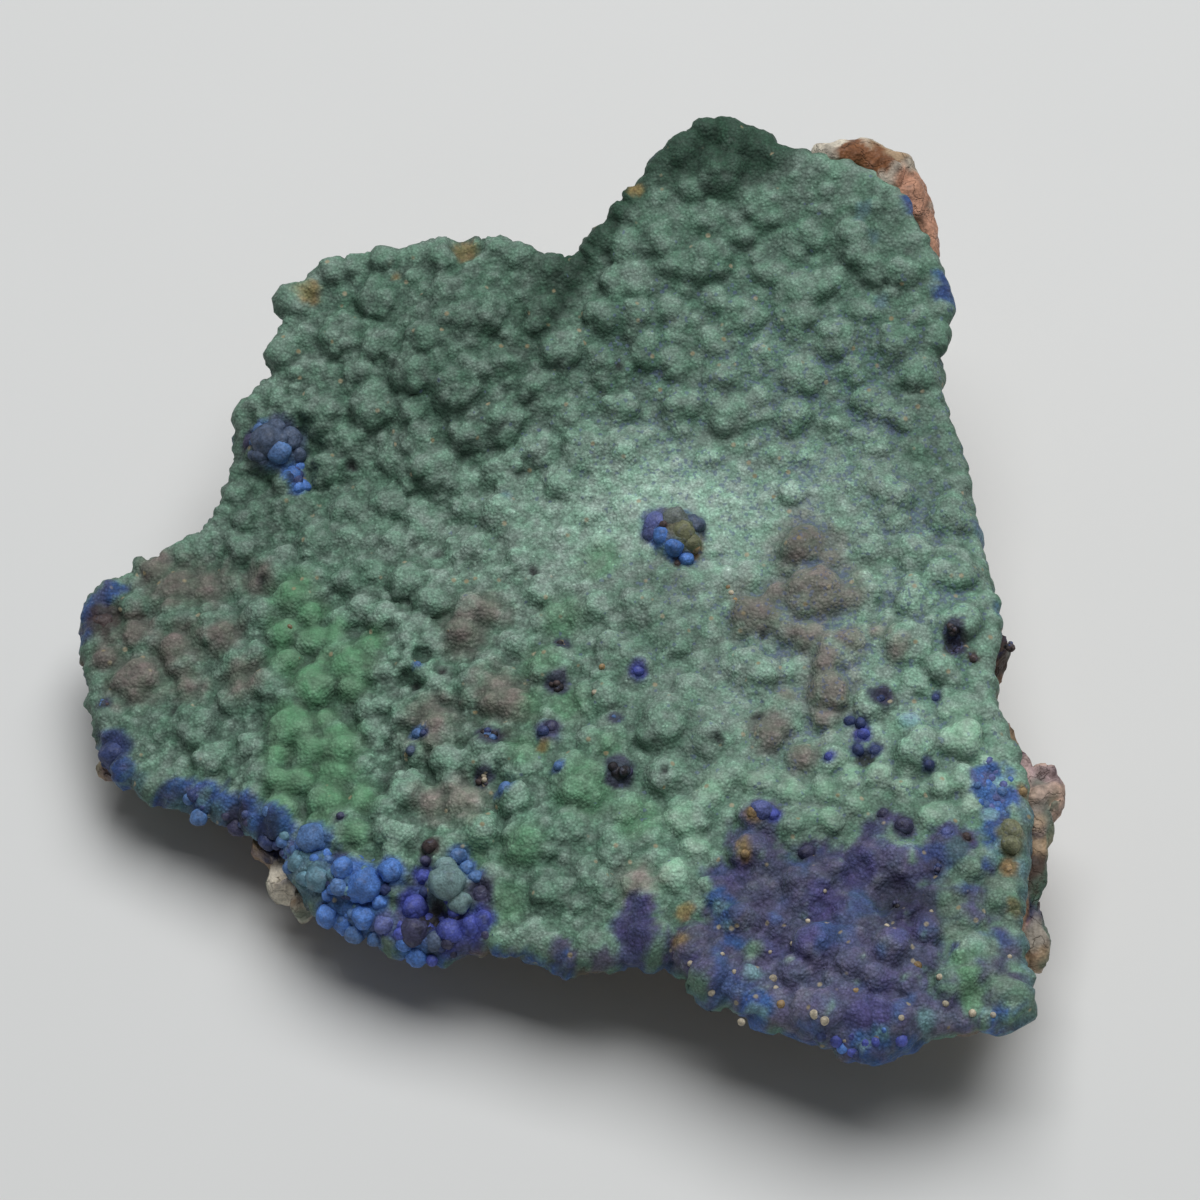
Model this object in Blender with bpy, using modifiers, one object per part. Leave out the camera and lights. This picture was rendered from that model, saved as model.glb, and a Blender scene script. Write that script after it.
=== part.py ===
"""Hand specimen of azurite and malachite, about 75 mm wide.

A thin grape-like crust of green malachite and blue azurite lies on a broken piece of iron-stained
quartz rock. The two pieces are two objects. Metres, +Z up, with the origin in the middle of the
rock's flat foot. The crust's low front edge faces -Y and its high back edge faces +Y.
"""

import math
import random

import bmesh
import bpy
import numpy as np
from mathutils import Matrix, Vector, noise

MM = 0.001
SEED = 41

# The crust's broken edge seen from above, anticlockwise from the right, in millimetres.
CRUST_EDGE = (
    (30.5, 5), (29, 12.5), (27.5, 18), (28.5, 24), (26.5, 28.5), (24, 33), (21, 34.5), (15.5, 36),
    (13, 37.5), (10, 38.5), (7.5, 38), (3, 34), (-1, 29.5), (-3.5, 28.5), (-8, 30.5), (-15, 30.5),
    (-22.5, 30), (-24.5, 28), (-26.5, 24.5), (-27, 21), (-29.5, 19), (-30, 14.5), (-32, 10),
    (-37, 7.5), (-41.5, 4.5), (-41.5, 0), (-40.5, -6), (-38, -11.5), (-32, -14.5), (-25.5, -18),
    (-24, -21), (-21, -24.5), (-13, -28.5), (-9.5, -28), (-2, -30.5), (4.5, -30.5), (7, -32),
    (11, -35), (15, -36.5), (18, -38), (21, -39), (28.5, -36), (32.5, -35.5), (32, -29), (33, -22),
    (33, -16), (31, -9), (31.5, -2.5),
)

# Height of the crust's top, in millimetres: a plate that dips to the left, and a steeper back slope.
TOP_HEIGHT = 15.0
FRONT_SLOPE = 0.12
BACK_SLOPE = 0.34
CREASE_Y = 12.0
CREASE_WIDTH = 3.0
LEFT_SLOPE = 0.15
RIGHT_SLOPE = 0.08
RIGHT_ROLL_X = 22.0
RIGHT_ROLL = 0.012
SHOULDER = (-13.0, 20.0)
SHOULDER_SIZE = (10.0, 6.0)
SHOULDER_HEIGHT = 2.0
SWELL_SPAN = 8.0
SWELL_HEIGHT = 0.9

CRUST_THICKNESS = 3.6 * MM
EDGE_ROUGHNESS = 0.8 * MM
EDGE_GRAIN = 3.5 * MM
CRUST_SIDES = 160
CRUST_RINGS = 60
SKIN_VOXEL = 0.55 * MM
CRUST_KEEP = 0.08

# Lumps, in millimetres: a jittered lattice of spheres that stand out of the crust.
LUMP_PITCH = 2.9
LUMP_JITTER = 0.6
LUMP_RADIUS = (1.35, 2.0)
LUMP_STAND = 0.6
BIG_LUMP_STAND = 0.8
# A calm field in the middle where the lumps are small and low: centre, size and share of the height.
CALM_CENTRE = (12.0, 6.0)
CALM_SIZE = (18.0, 8.0)
CALM_SHARE = 0.45
EDGE_OVERHANG = 0.2
EDGE_LUMP_PITCH = 2.3
EDGE_LUMP_RADIUS = (0.9, 1.35)

# Lumps that stand out by their size or place: x, y and radius in millimetres.
BIG_LUMPS = (
    (6.1, 6.6, 2.4), (7.9, 2.2, 1.9), (10.6, -1.4, 2.1), (12.9, -5.5, 2.0), (16.2, 4.4, 2.5),
    (18.7, 0.8, 2.3), (14.9, -0.4, 2.1), (16.6, -3.6, 2.0), (19.5, -4.3, 2.0), (17.2, -8.8, 2.4),
    (13.1, -11.8, 2.1), (-26.1, 15.5, 2.6), (-24.8, 12.8, 1.9), (-11.5, -23.5, 2.3),
    (-18.8, -22.0, 2.2), (-21.7, -20.6, 2.0), (-15.8, -21.8, 2.0), (-6.4, 16.5, 2.6),
    (-4.8, 12.4, 2.4), (2.4, 26.6, 2.6), (-18.5, 16.7, 2.6), (-21.0, -15.2, 2.2),
    (-22.0, -5.0, 2.2), (4.0, -28.4, 2.2), (3.1, -5.9, 1.7), (1.5, -14.4, 1.8), (27.7, -3.6, 1.8),
    (-8.7, -12.7, 2.2), (9.6, 34.2, 2.5), (-33.5, 2.0, 2.3), (-36.5, -3.5, 2.2), (24.5, -14.5, 2.3),
    (-14.5, -1.5, 2.3), (21.5, 15.0, 2.3), (12.5, 20.0, 2.4), (18.0, 27.5, 2.4), (26.5, -33.0, 2.0),
)

# Holes in the crust: x, y and radius in millimetres.
PITS = ((6.1, 6.6, 1.5), (-15.0, -25.2, 1.8), (21.2, -25.0, 1.8), (-10.9, 29.8, 2.2))
PIT_DEPTH = 0.6

# The rock stands this far inside the crust's edge: direction in degrees, inset in millimetres.
ROCK_INSETS = (
    (-180, 3.0), (-150, 2.0), (-133, 1.5), (-125, 3.0), (-110, 6.0), (-90, 7.0), (-70, 7.0), (-55, 6.0),
    (-47, 3.0), (-42, 0.5), (-39, -1.9), (-32, -1.5), (-28, -1.6), (-23, -2.6), (-19, -1.6),
    (-16, 0.8), (-6, 1.2), (30, 2.0), (44, 1.0), (47, -1.8), (52, -2.5), (58, -3.0), (62, -2.8),
    (65, 0.5), (75, 3.0), (130, 3.0), (180, 3.0),
)
# How far the rock's bare top lies below the crust's top: direction in degrees, drop in millimetres.
ROCK_DROPS = ((-180, 2.2), (-60, 2.4), (10, 2.4), (46, 1.4), (52, 0.6), (62, 0.4), (70, 2.0), (180, 2.2))
FOOT_SHARE = (
    (-180, 0.58), (-135, 0.66), (-100, 0.62), (-60, 0.60), (-30, 0.74), (0, 0.80), (45, 0.74),
    (90, 0.70), (130, 0.74), (180, 0.58),
)
ROCK_SIDES = 72
ROCK_RINGS = 34
ROCK_ROUGHNESS = 1.6 * MM
ROCK_GRAIN = 7.0 * MM
ROCK_KEEP = 0.04
# Flat breaks of the rock's wall: direction in degrees, depth cut from the foot in millimetres.
BREAKS = (
    (-152, 1.0), (-122, 2.0), (-84, 1.0), (-52, 2.0), (-18, 0.5), (14, 2.0), (44, 0.5), (76, 1.5),
    (108, 1.0), (146, 2.0), (178, 1.0),
)
BREAK_FADE = (0.55, 0.9)
FOOT_SINK = 1.2 * MM

GAP = 0.7 * MM
CUTTER_SIDES = 90
CUTTER_RINGS = 46
FLOOR_CUT = 0.2

MALACHITE_GREEN = (0.075, 0.165, 0.125, 1.0)
QUARTZ_TAN = (0.50, 0.33, 0.22, 1.0)


def clear_scene():
    for old in list(bpy.data.objects):
        bpy.data.objects.remove(old)


def make_collection(name):
    made = bpy.data.collections.new(name)
    bpy.context.scene.collection.children.link(made)
    return made


def make_material(name, colour, roughness):
    made = bpy.data.materials.new(name)
    made.use_nodes = True
    shader = made.node_tree.nodes["Principled BSDF"]
    shader.inputs["Base Color"].default_value = colour
    shader.inputs["Roughness"].default_value = roughness
    shader.inputs["Metallic"].default_value = 0.0
    return made


def make_object(name, shape, collection, material=None):
    """A named object from a bmesh, shaded smooth except at its sharp breaks."""
    mesh = bpy.data.meshes.new(name)
    shape.to_mesh(mesh)
    shape.free()
    mesh.shade_smooth()
    mesh.set_sharp_from_angle(angle=math.radians(50))
    if material:
        mesh.materials.append(material)
    made = bpy.data.objects.new(name, mesh)
    collection.objects.link(made)
    return made


def smooth_edge(corners, steps=8):
    """A closed Catmull-Rom curve through the corners, in metres."""
    points = np.array(corners, float) * MM
    before, after, beyond = np.roll(points, 1, 0), np.roll(points, -1, 0), np.roll(points, -2, 0)
    curve = []
    for step in range(steps):
        t = step / steps
        curve.append(
            0.5 * (2 * points + (after - before) * t
                   + (2 * before - 5 * points + 4 * after - beyond) * t ** 2
                   + (3 * points - before - 3 * after + beyond) * t ** 3)
        )
    return np.stack(curve, 1).reshape(-1, 2)


EDGE = smooth_edge(CRUST_EDGE)
EDGE_ANGLES = np.arctan2(EDGE[:, 1], EDGE[:, 0])
EDGE_ORDER = np.argsort(EDGE_ANGLES)


def edge_radius(angle):
    """Distance from the middle to the crust's edge in a direction."""
    return float(np.interp(
        angle, EDGE_ANGLES[EDGE_ORDER], np.hypot(*EDGE[EDGE_ORDER].T), period=2 * math.pi
    ))


def room_to_edge(x, y):
    """Distance from a place on the crust to its edge, negative outside it."""
    nearest = float(np.hypot(EDGE[:, 0] - x, EDGE[:, 1] - y).min())
    return nearest if math.hypot(x, y) < edge_radius(math.atan2(y, x)) else -nearest


def by_direction(table, angle):
    """A value that a table gives by direction in degrees."""
    directions, values = zip(*table)
    return float(np.interp(math.degrees(angle), directions, values))


def crust_top(x, y):
    """Height of the crust's top before its lumps."""
    x, y = x / MM, y / MM
    height = TOP_HEIGHT + FRONT_SLOPE * y
    height += BACK_SLOPE * CREASE_WIDTH * math.log1p(math.exp((y - CREASE_Y) / CREASE_WIDTH))
    height += LEFT_SLOPE * min(x, 0) + RIGHT_SLOPE * max(x, 0)
    height -= RIGHT_ROLL * max(x - RIGHT_ROLL_X, 0) ** 2
    across = (x - SHOULDER[0]) / SHOULDER_SIZE[0]
    along = (y - SHOULDER[1]) / SHOULDER_SIZE[1]
    height += SHOULDER_HEIGHT * math.exp(-across ** 2 - along ** 2)
    height += SWELL_HEIGHT * noise.noise(Vector((x, y, 0.0)) / SWELL_SPAN)
    return height * MM


def lump_share(x, y):
    """How much of their full size the small lumps reach: less in the calm field."""
    across = (x / MM - CALM_CENTRE[0]) / CALM_SIZE[0]
    along = (y / MM - CALM_CENTRE[1]) / CALM_SIZE[1]
    return 1 - (1 - CALM_SHARE) * math.exp(-(across ** 4) - along ** 4)


def plate(sides, rings, grow=0.0, rough_edge=0.0):
    """A closed plate that follows the crust's edge and top, grown on all sides or with a broken edge."""
    shape = bmesh.new()
    bmesh.ops.create_uvsphere(shape, u_segments=sides, v_segments=rings, radius=1.0)
    turns = (0.0, 0.40, 0.45, 0.50, 0.55, 0.60, 1.0)
    reach = (0.0, 0.965, 0.99, 1.0, 0.99, 0.965, 0.0)
    level = (1.0, 1.0, 0.7, 0.0, -0.7, -1.0, -1.0)
    half = CRUST_THICKNESS / 2
    for vert in shape.verts:
        turn = math.acos(max(-1.0, min(1.0, vert.co.z))) / math.pi
        angle = math.atan2(vert.co.y, vert.co.x)
        share = np.interp(turn, turns, reach)
        x = math.cos(angle) * share * edge_radius(angle)
        y = math.sin(angle) * share * edge_radius(angle)
        away = Vector((x, y)).normalized() * grow * share if share > 0 else Vector((0, 0))
        lift = np.interp(turn, turns, level) * (half + grow)
        rough = noise.noise_vector(Vector((x, y, lift)) / EDGE_GRAIN) * rough_edge
        rough *= float(np.interp(turn, (0.40, 0.45, 0.55, 0.7), (0.0, 1.0, 1.0, 0.4)))
        vert.co = (x + away.x + rough.x, y + away.y + rough.y, crust_top(x, y) - half + lift + rough.z)
    return shape


def add_ball(shape, x, y, z, radius, detail=2):
    bmesh.ops.create_icosphere(
        shape, subdivisions=detail, radius=radius, matrix=Matrix.Translation((x, y, z))
    )


def add_lumps(shape):
    """The lattice of small lumps, the lumps along the edge, and the big ones."""
    draw = random.Random(SEED)
    big = [(x * MM, y * MM, radius * MM) for x, y, radius in BIG_LUMPS]
    rows = range(-20, 21)
    for row in rows:
        for column in rows:
            x = (column + 0.5 * (row % 2)) * LUMP_PITCH + draw.uniform(-LUMP_JITTER, LUMP_JITTER)
            y = row * LUMP_PITCH * math.sqrt(0.75) + draw.uniform(-LUMP_JITTER, LUMP_JITTER)
            radius = draw.uniform(*LUMP_RADIUS) * MM
            x, y = x * MM, y * MM
            if room_to_edge(x, y) < radius - EDGE_OVERHANG * MM:
                continue
            if any(math.hypot(x - bx, y - by) < 0.6 * size for bx, by, size in big):
                continue
            stand = LUMP_STAND * lump_share(x, y)
            add_ball(shape, x, y, crust_top(x, y) - (1 - stand) * radius, radius)
    for x, y, radius in big:
        stand = BIG_LUMP_STAND
        add_ball(shape, x, y, crust_top(x, y) - (1 - stand) * radius, radius, detail=3)
    steps = np.hypot(*(np.roll(EDGE, -1, 0) - EDGE).T)
    walked = np.concatenate([[0.0], np.cumsum(steps)])
    count = int(walked[-1] / (EDGE_LUMP_PITCH * MM))
    closed = np.vstack([EDGE, EDGE[:1]])
    for place in range(count):
        at = (place + draw.uniform(-0.25, 0.25)) / count * walked[-1]
        x, y = (float(np.interp(at, walked, closed[:, axis])) for axis in (0, 1))
        radius = draw.uniform(*EDGE_LUMP_RADIUS) * MM
        inside = 1 - (radius - EDGE_OVERHANG * MM) * 1.1 / math.hypot(x, y)
        x, y = x * inside, y * inside
        add_ball(shape, x, y, crust_top(x, y) - CRUST_THICKNESS * draw.uniform(0.25, 0.45), radius)


def add_skin(target):
    """Fuses overlapping forms into one closed skin of small even faces, and rounds off thin slivers."""
    skin = target.modifiers.new("Skin", "REMESH")
    skin.mode = "VOXEL"
    skin.voxel_size = SKIN_VOXEL


def add_difference(target, cutter, name):
    cut = target.modifiers.new(name, "BOOLEAN")
    cut.operation = "DIFFERENCE"
    cut.solver = "EXACT"
    cut.object = cutter


def add_decimate(target, keep):
    thinned = target.modifiers.new("Facets", "DECIMATE")
    thinned.ratio = keep
    thinned.use_collapse_triangulate = True


def hide_as_cutter(cutter):
    cutter.hide_render = True
    cutter.display_type = "WIRE"


def make_crust(parts, cutters):
    """Plate and lumps fused into one skin, with pits cut into it."""
    shape = plate(CRUST_SIDES, CRUST_RINGS, rough_edge=EDGE_ROUGHNESS)
    add_lumps(shape)
    crust = make_object(
        "malachite_crust", shape, parts, make_material("malachite", MALACHITE_GREEN, 0.8)
    )
    add_skin(crust)
    holes = bmesh.new()
    for x, y, radius in PITS:
        x, y, radius = x * MM, y * MM, radius * MM
        add_ball(holes, x, y, crust_top(x, y) + (1 - PIT_DEPTH) * radius + LUMP_STAND * MM, radius)
    pits = make_object("pits", holes, cutters)
    hide_as_cutter(pits)
    add_difference(crust, pits, "Pits")
    add_decimate(crust, CRUST_KEEP)
    return crust


def rock_wall(angle, level):
    """Distance from the middle to the rock's wall at a level from 0, the foot, to 1, the rim."""
    rim = edge_radius(angle) - by_direction(ROCK_INSETS, angle) * MM
    foot = rim * by_direction(FOOT_SHARE, angle)
    return foot + (rim - foot) * math.sin(level * math.pi / 2) ** 0.9


def rock_top(x, y):
    """Height of the rock's bare top."""
    return crust_top(x, y) - by_direction(ROCK_DROPS, math.atan2(y, x)) * MM


def rock_breaks():
    """Planes from the rim to inside the foot, each as its flat direction, foot distance and run per rise."""
    planes = []
    for direction, depth in BREAKS:
        angle = math.radians(direction)
        rim, foot = rock_wall(angle, 1.0), rock_wall(angle, 0.0) - depth * MM
        outward = Vector((math.cos(angle), math.sin(angle), 0.0))
        height = rock_top(*(outward * rim).xy)
        planes.append((outward, foot, (rim - foot) / height))
    return planes


def make_rock(parts, cutters):
    """A broken block that widens from its foot to the crust, cut to take the crust and to stand flat."""
    shape = bmesh.new()
    bmesh.ops.create_uvsphere(shape, u_segments=ROCK_SIDES, v_segments=ROCK_RINGS, radius=1.0)
    planes = rock_breaks()
    for vert in shape.verts:
        turn = math.acos(max(-1.0, min(1.0, vert.co.z))) / math.pi
        angle = math.atan2(vert.co.y, vert.co.x)
        level = float(np.interp(turn, (0.3, 0.8), (1.0, 0.0)))
        share = float(np.interp(turn, (0.0, 0.3, 0.8, 1.0), (0.0, 1.0, 1.0, 0.0)))
        reach = rock_wall(angle, level) * share
        x, y = math.cos(angle) * reach, math.sin(angle) * reach
        place = Vector((x, y, -FOOT_SINK + level * (rock_top(x, y) + FOOT_SINK)))
        if 0.0 < level < 1.0:
            rough = noise.noise_vector(place / ROCK_GRAIN)
            rough += 0.5 * noise.noise_vector(place / ROCK_GRAIN * 2.3)
            place += rough * ROCK_ROUGHNESS * math.sin(math.pi * level) ** 1.5
            fade = 1 - float(np.interp(level, BREAK_FADE, (0.0, 1.0)))
            for outward, foot, slope in planes:
                beyond = place.dot(outward) - foot - slope * max(place.z, 0.0)
                place -= outward * max(beyond, 0.0) * fade
            place.z = min(place.z, rock_top(place.x, place.y))
        vert.co = place
    rock = make_object("host_rock", shape, parts, make_material("iron_stained_quartz", QUARTZ_TAN, 0.85))

    add_skin(rock)
    seat = make_object("crust_seat", plate(CUTTER_SIDES, CUTTER_RINGS, grow=GAP), cutters)
    hide_as_cutter(seat)
    add_difference(rock, seat, "Seat for the crust")
    add_skin(rock)

    floor = bmesh.new()
    bmesh.ops.create_cube(
        floor, size=FLOOR_CUT, matrix=Matrix.Translation((0, 0, -FLOOR_CUT / 2))
    )
    below = make_object("below_foot", floor, cutters)
    hide_as_cutter(below)
    add_difference(rock, below, "Flat foot")
    add_decimate(rock, ROCK_KEEP)
    return rock


noise.seed_set(SEED)
clear_scene()
specimen = make_collection("azurite_malachite_specimen")
cutting = make_collection("cutters")
cutting.hide_render = True
make_crust(specimen, cutting)
make_rock(specimen, cutting)
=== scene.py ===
"""Azurite and malachite hand specimen, about 77 mm wide, lying crust side up on a pale floor."""

import itertools
import math
import random

import bmesh
import bpy
import numpy as np
from mathutils import Euler, Matrix, Vector, kdtree, noise


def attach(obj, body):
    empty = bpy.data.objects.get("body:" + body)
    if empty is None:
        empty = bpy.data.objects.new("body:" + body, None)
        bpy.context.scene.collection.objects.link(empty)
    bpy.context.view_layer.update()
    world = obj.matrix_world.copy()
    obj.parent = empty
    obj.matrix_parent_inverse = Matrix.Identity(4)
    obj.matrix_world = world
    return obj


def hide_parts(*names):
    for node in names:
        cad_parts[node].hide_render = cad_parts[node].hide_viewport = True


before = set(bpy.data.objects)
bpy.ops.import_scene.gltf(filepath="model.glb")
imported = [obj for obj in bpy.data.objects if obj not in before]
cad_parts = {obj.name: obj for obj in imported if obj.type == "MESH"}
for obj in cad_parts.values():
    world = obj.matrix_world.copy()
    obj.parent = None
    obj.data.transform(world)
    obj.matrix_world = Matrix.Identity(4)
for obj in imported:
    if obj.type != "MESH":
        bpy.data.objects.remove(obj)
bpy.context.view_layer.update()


# Host rock. A broken block of milky and tan quartz, stained rusty by iron, that the crust grew on.
# Its flat foot stands on the floor. Chips of it show past the crust's edge at the back right, the
# right, the left tip and the left front.

MM = 0.001
SEED = 41
noise.seed_set(SEED)

# The crust's broken edge seen from above, anticlockwise from the right, in millimetres.
CRUST_EDGE = (
    (30.5, 5), (29, 12.5), (27.5, 18), (28.5, 24), (26.5, 28.5), (24, 33), (21, 34.5), (15.5, 36),
    (13, 37.5), (10, 38.5), (7.5, 38), (3, 34), (-1, 29.5), (-3.5, 28.5), (-8, 30.5), (-15, 30.5),
    (-22.5, 30), (-24.5, 28), (-26.5, 24.5), (-27, 21), (-29.5, 19), (-30, 14.5), (-32, 10), (-37, 7.5),
    (-41.5, 4.5), (-41.5, 0), (-40.5, -6), (-38, -11.5), (-32, -14.5), (-25.5, -18), (-24, -21),
    (-21, -24.5), (-13, -28.5), (-9.5, -28), (-2, -30.5), (4.5, -30.5), (7, -32), (11, -35), (15, -36.5),
    (18, -38), (21, -39), (26.5, -36.7), (30.2, -36.6), (32.5, -36.6), (32.5, -34), (32, -29), (33, -22),
    (33, -16), (31, -9), (31.5, -2.5),
)
EDGE_STEPS = 40

corners = np.array(CRUST_EDGE, float) * MM
before, after, beyond = np.roll(corners, 1, 0), np.roll(corners, -1, 0), np.roll(corners, -2, 0)
curve = []
for step in range(EDGE_STEPS):
    t = step / EDGE_STEPS
    curve.append(
        0.5 * (2 * corners + (after - before) * t
               + (2 * before - 5 * corners + 4 * after - beyond) * t ** 2
               + (3 * corners - before - 3 * after + beyond) * t ** 3)
    )
curve = np.stack(curve, 1).reshape(-1, 2)
curve_turns = np.arctan2(curve[:, 1], curve[:, 0])
curve_order = np.argsort(curve_turns)
sorted_turns, sorted_reach = curve_turns[curve_order], np.hypot(*curve[curve_order].T)


def edge_reach(turn):
    """Distance from the middle to the crust's edge in each direction."""
    return np.interp(turn, sorted_turns, sorted_reach, period=2 * math.pi)


def grain(places, size, shift=0.0):
    """Smooth noise from -1 to 1 over places in metres, with patches of about the size given."""
    scaled = np.asarray(places) / size + shift
    return np.array([noise.noise(Vector(place)) for place in scaled])


def softplus(value, width):
    """0 below zero and the value itself above it, with a round bend of the width given."""
    return width * np.log1p(np.exp(value / width))


def oval(x, y, middle_x, middle_y, half_width, half_depth):
    """1 in the middle of an oval, fading softly to 0 outside it."""
    return np.exp(-((x - middle_x) / half_width) ** 2 - ((y - middle_y) / half_depth) ** 2)


# The crust's top, in millimetres: its height in the middle, how it climbs to the back, dips to the
# left and bends down at the right edge, a shoulder on its back left, and its slow waves.
TOP_HEIGHT = 15.0
BACK_SLOPE = 0.12
STEEP_SLOPE = 0.34
STEEP_FROM = 12.0
STEEP_BEND = 3.0
LEFT_SLOPE = 0.15
RIGHT_SLOPE = 0.08
RIGHT_BEND_FROM = 22.0
RIGHT_BEND = 0.012
SHOULDER = (-13.0, 20.0, 10.0, 6.0)
SHOULDER_RISE = 2.0
WAVE_WIDTH = 8.0 * MM
WAVE_RISE = 0.9


def crust_top(x, y):
    """Height of the crust's top before its lumps."""
    a, b = x / MM, y / MM
    height = TOP_HEIGHT + BACK_SLOPE * b + STEEP_SLOPE * softplus(b - STEEP_FROM, STEEP_BEND)
    height += LEFT_SLOPE * np.minimum(a, 0) + RIGHT_SLOPE * np.maximum(a, 0)
    height -= RIGHT_BEND * np.maximum(a - RIGHT_BEND_FROM, 0) ** 2
    height += SHOULDER_RISE * oval(a, b, *SHOULDER)
    height += WAVE_RISE * grain(np.stack([x, y, np.zeros_like(x)], 1), WAVE_WIDTH)
    return height * MM


def point_rows(mesh, kind):
    """Places ("co") or outward directions ("normal") of a mesh's points, a row for each."""
    rows = np.empty(len(mesh.vertices) * 3, np.float32)
    mesh.vertices.foreach_get(kind, rows)
    return rows.reshape(-1, 3).astype(float)


def set_places(mesh, places):
    mesh.vertices.foreach_set("co", places.astype(np.float32).ravel())
    mesh.update()


def set_paint(mesh, name, colours):
    """Colours of a mesh's points, in a layer that is made or painted anew."""
    layer = mesh.attributes.get(name) or mesh.attributes.new(name, "FLOAT_COLOR", "POINT")
    filled = np.concatenate([np.clip(colours, 0, 1), np.ones((len(colours), 1))], 1)
    layer.data.foreach_set("color", filled.astype(np.float32).ravel())


def set_share(mesh, name, values):
    """One number for each of a mesh's points."""
    layer = mesh.attributes.new(name, "FLOAT", "POINT")
    layer.data.foreach_set("value", np.asarray(values, np.float32))


def made_mesh(form, name):
    """A mesh of what has been formed."""
    mesh = bpy.data.meshes.new(name)
    form.to_mesh(mesh)
    form.free()
    return mesh


def fused(form, name, voxel):
    """One closed skin of small even faces round all that has been formed."""
    rough = made_mesh(form, name + "_rough")
    holder = bpy.data.objects.new(name + "_rough", rough)
    bpy.context.scene.collection.objects.link(holder)
    skin = holder.modifiers.new("Skin", "REMESH")
    skin.mode = "VOXEL"
    skin.voxel_size = voxel
    seen = holder.evaluated_get(bpy.context.evaluated_depsgraph_get())
    solid = bpy.data.meshes.new_from_object(seen)
    solid.name = name
    bpy.data.objects.remove(holder)
    bpy.data.meshes.remove(rough)
    return solid


def step_up(value, low, high):
    """0 below low, 1 above high, and a smooth rise between them."""
    t = np.clip((value - low) / (high - low), 0, 1)
    return t * t * (3 - 2 * t)


def washed(under, over, share):
    """Colours with another colour laid over them by a share from 0 to 1."""
    under, over = np.asarray(under), np.asarray(over)
    return under + (over - under) * np.asarray(share)[:, None]


# Chips of rock: x, y, z, half width, half depth and half height in millimetres.
CHIPS = (
    (19.2, 35.4, 26.6, 2.2, 1.5, 1.6), (21.6, 35.2, 26.6, 1.8, 1.7, 1.6), (23.6, 33.9, 26.2, 1.9, 1.8, 1.7),
    (25.1, 31.8, 25.2, 1.4, 1.9, 1.8), (26.4, 29.2, 23.6, 1, 2, 1.6), (27, 26.8, 21.8, 0.7, 1.6, 1.2),
    (-38.9, -9, 4.8, 1, 0.9, 1), (-25.6, -17.2, 5, 1.4, 1.4, 1.4), (-24.2, -19.7, 5, 1.4, 1.8, 1.5),
    (-22.7, -21.9, 5, 1.3, 1.2, 1.4), (33.9, -15.4, 10.3, 1.8, 2.1, 1.7), (33.4, -18.4, 9.9, 1.3, 2, 1.6),
    (32.9, -22.4, 9.4, 1.1, 2.6, 1.6), (33.3, -27.6, 8.8, 1.2, 2.2, 1.7), (31, -3.4, 12.1, 1.1, 2.3, 1.6),
    (30.8, -22, 8.2, 2.6, 8, 2),
)
CHIP_FLATS = 8
CHIP_CUTS = (0.55, 0.85)
CHIP_SWELL = 1.2
ROCK_VOXEL = 0.37 * MM
# The seat is the rock's top, under the crust. It begins and ends at these depths below the crust's
# top, in millimetres, and is raised until it meets the crust.
SEAT_BEGINS = (2.9, 3.3)
SEAT_ENDS = (5.0, 6.2)
SEAT_RISE = 1.3 * MM

rock_form = bmesh.new()
rock_form.from_mesh(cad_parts["host_rock"].data)
bmesh.ops.remove_doubles(rock_form, verts=rock_form.verts, dist=0.001 * MM)
draw = random.Random(SEED)
for x, y, z, wide, deep, high in CHIPS:
    chip = bmesh.ops.create_icosphere(rock_form, subdivisions=4, radius=1.0)["verts"]
    for flat in range(CHIP_FLATS):
        facing = Vector([draw.gauss(0, 1) for axis in range(3)]).normalized()
        reach = draw.uniform(*CHIP_CUTS)
        for vert in chip:
            vert.co -= facing * max(vert.co.dot(facing) - reach, 0.0)
    size = Matrix.Diagonal([half * MM * CHIP_SWELL for half in (wide, deep, high)] + [1.0])
    place = Matrix.Translation((x * MM, y * MM, z * MM))
    bmesh.ops.transform(rock_form, matrix=place @ size, verts=chip)
rock_mesh = fused(rock_form, "host_rock_dressed", ROCK_VOXEL)

places, outward = point_rows(rock_mesh, "co"), point_rows(rock_mesh, "normal")
depth = (crust_top(places[:, 0], places[:, 1]) - places[:, 2]) / MM
seat = step_up(outward[:, 2], 0.2, 0.6) * step_up(depth, *SEAT_BEGINS)
seat *= 1 - step_up(depth, *SEAT_ENDS)
rough = 0.42 * grain(places, 4.5 * MM) + 0.5 * (0.35 - np.abs(grain(places, 2.6 * MM, 7.0)))
rough += 0.20 * grain(places, 1.1 * MM, 3.0) + 0.10 * grain(places, 0.5 * MM, 5.0)
free = (1 - seat) * step_up(places[:, 2] / MM, 0.15, 1.2)
rock_places = places + outward * (rough * MM * free)[:, None]
rock_places[:, 2] += seat * SEAT_RISE
rock_places[:, 2] = np.maximum(rock_places[:, 2], 0.0)
set_places(rock_mesh, rock_places)

MILKY = (0.60, 0.545, 0.45)
TAN = (0.42, 0.30, 0.19)
RUST = (0.23, 0.095, 0.04)
SALMON = (0.53, 0.28, 0.185)
DARK_IRON = (0.06, 0.038, 0.028)
CLAY = (0.34, 0.30, 0.25)
QUARTZ_WHITE = (0.80, 0.73, 0.60)
ROSY_GREY = (0.62, 0.43, 0.34)
SEAM_BLUE = (0.04, 0.085, 0.26)
SEAM_GREEN = (0.07, 0.17, 0.12)
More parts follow.
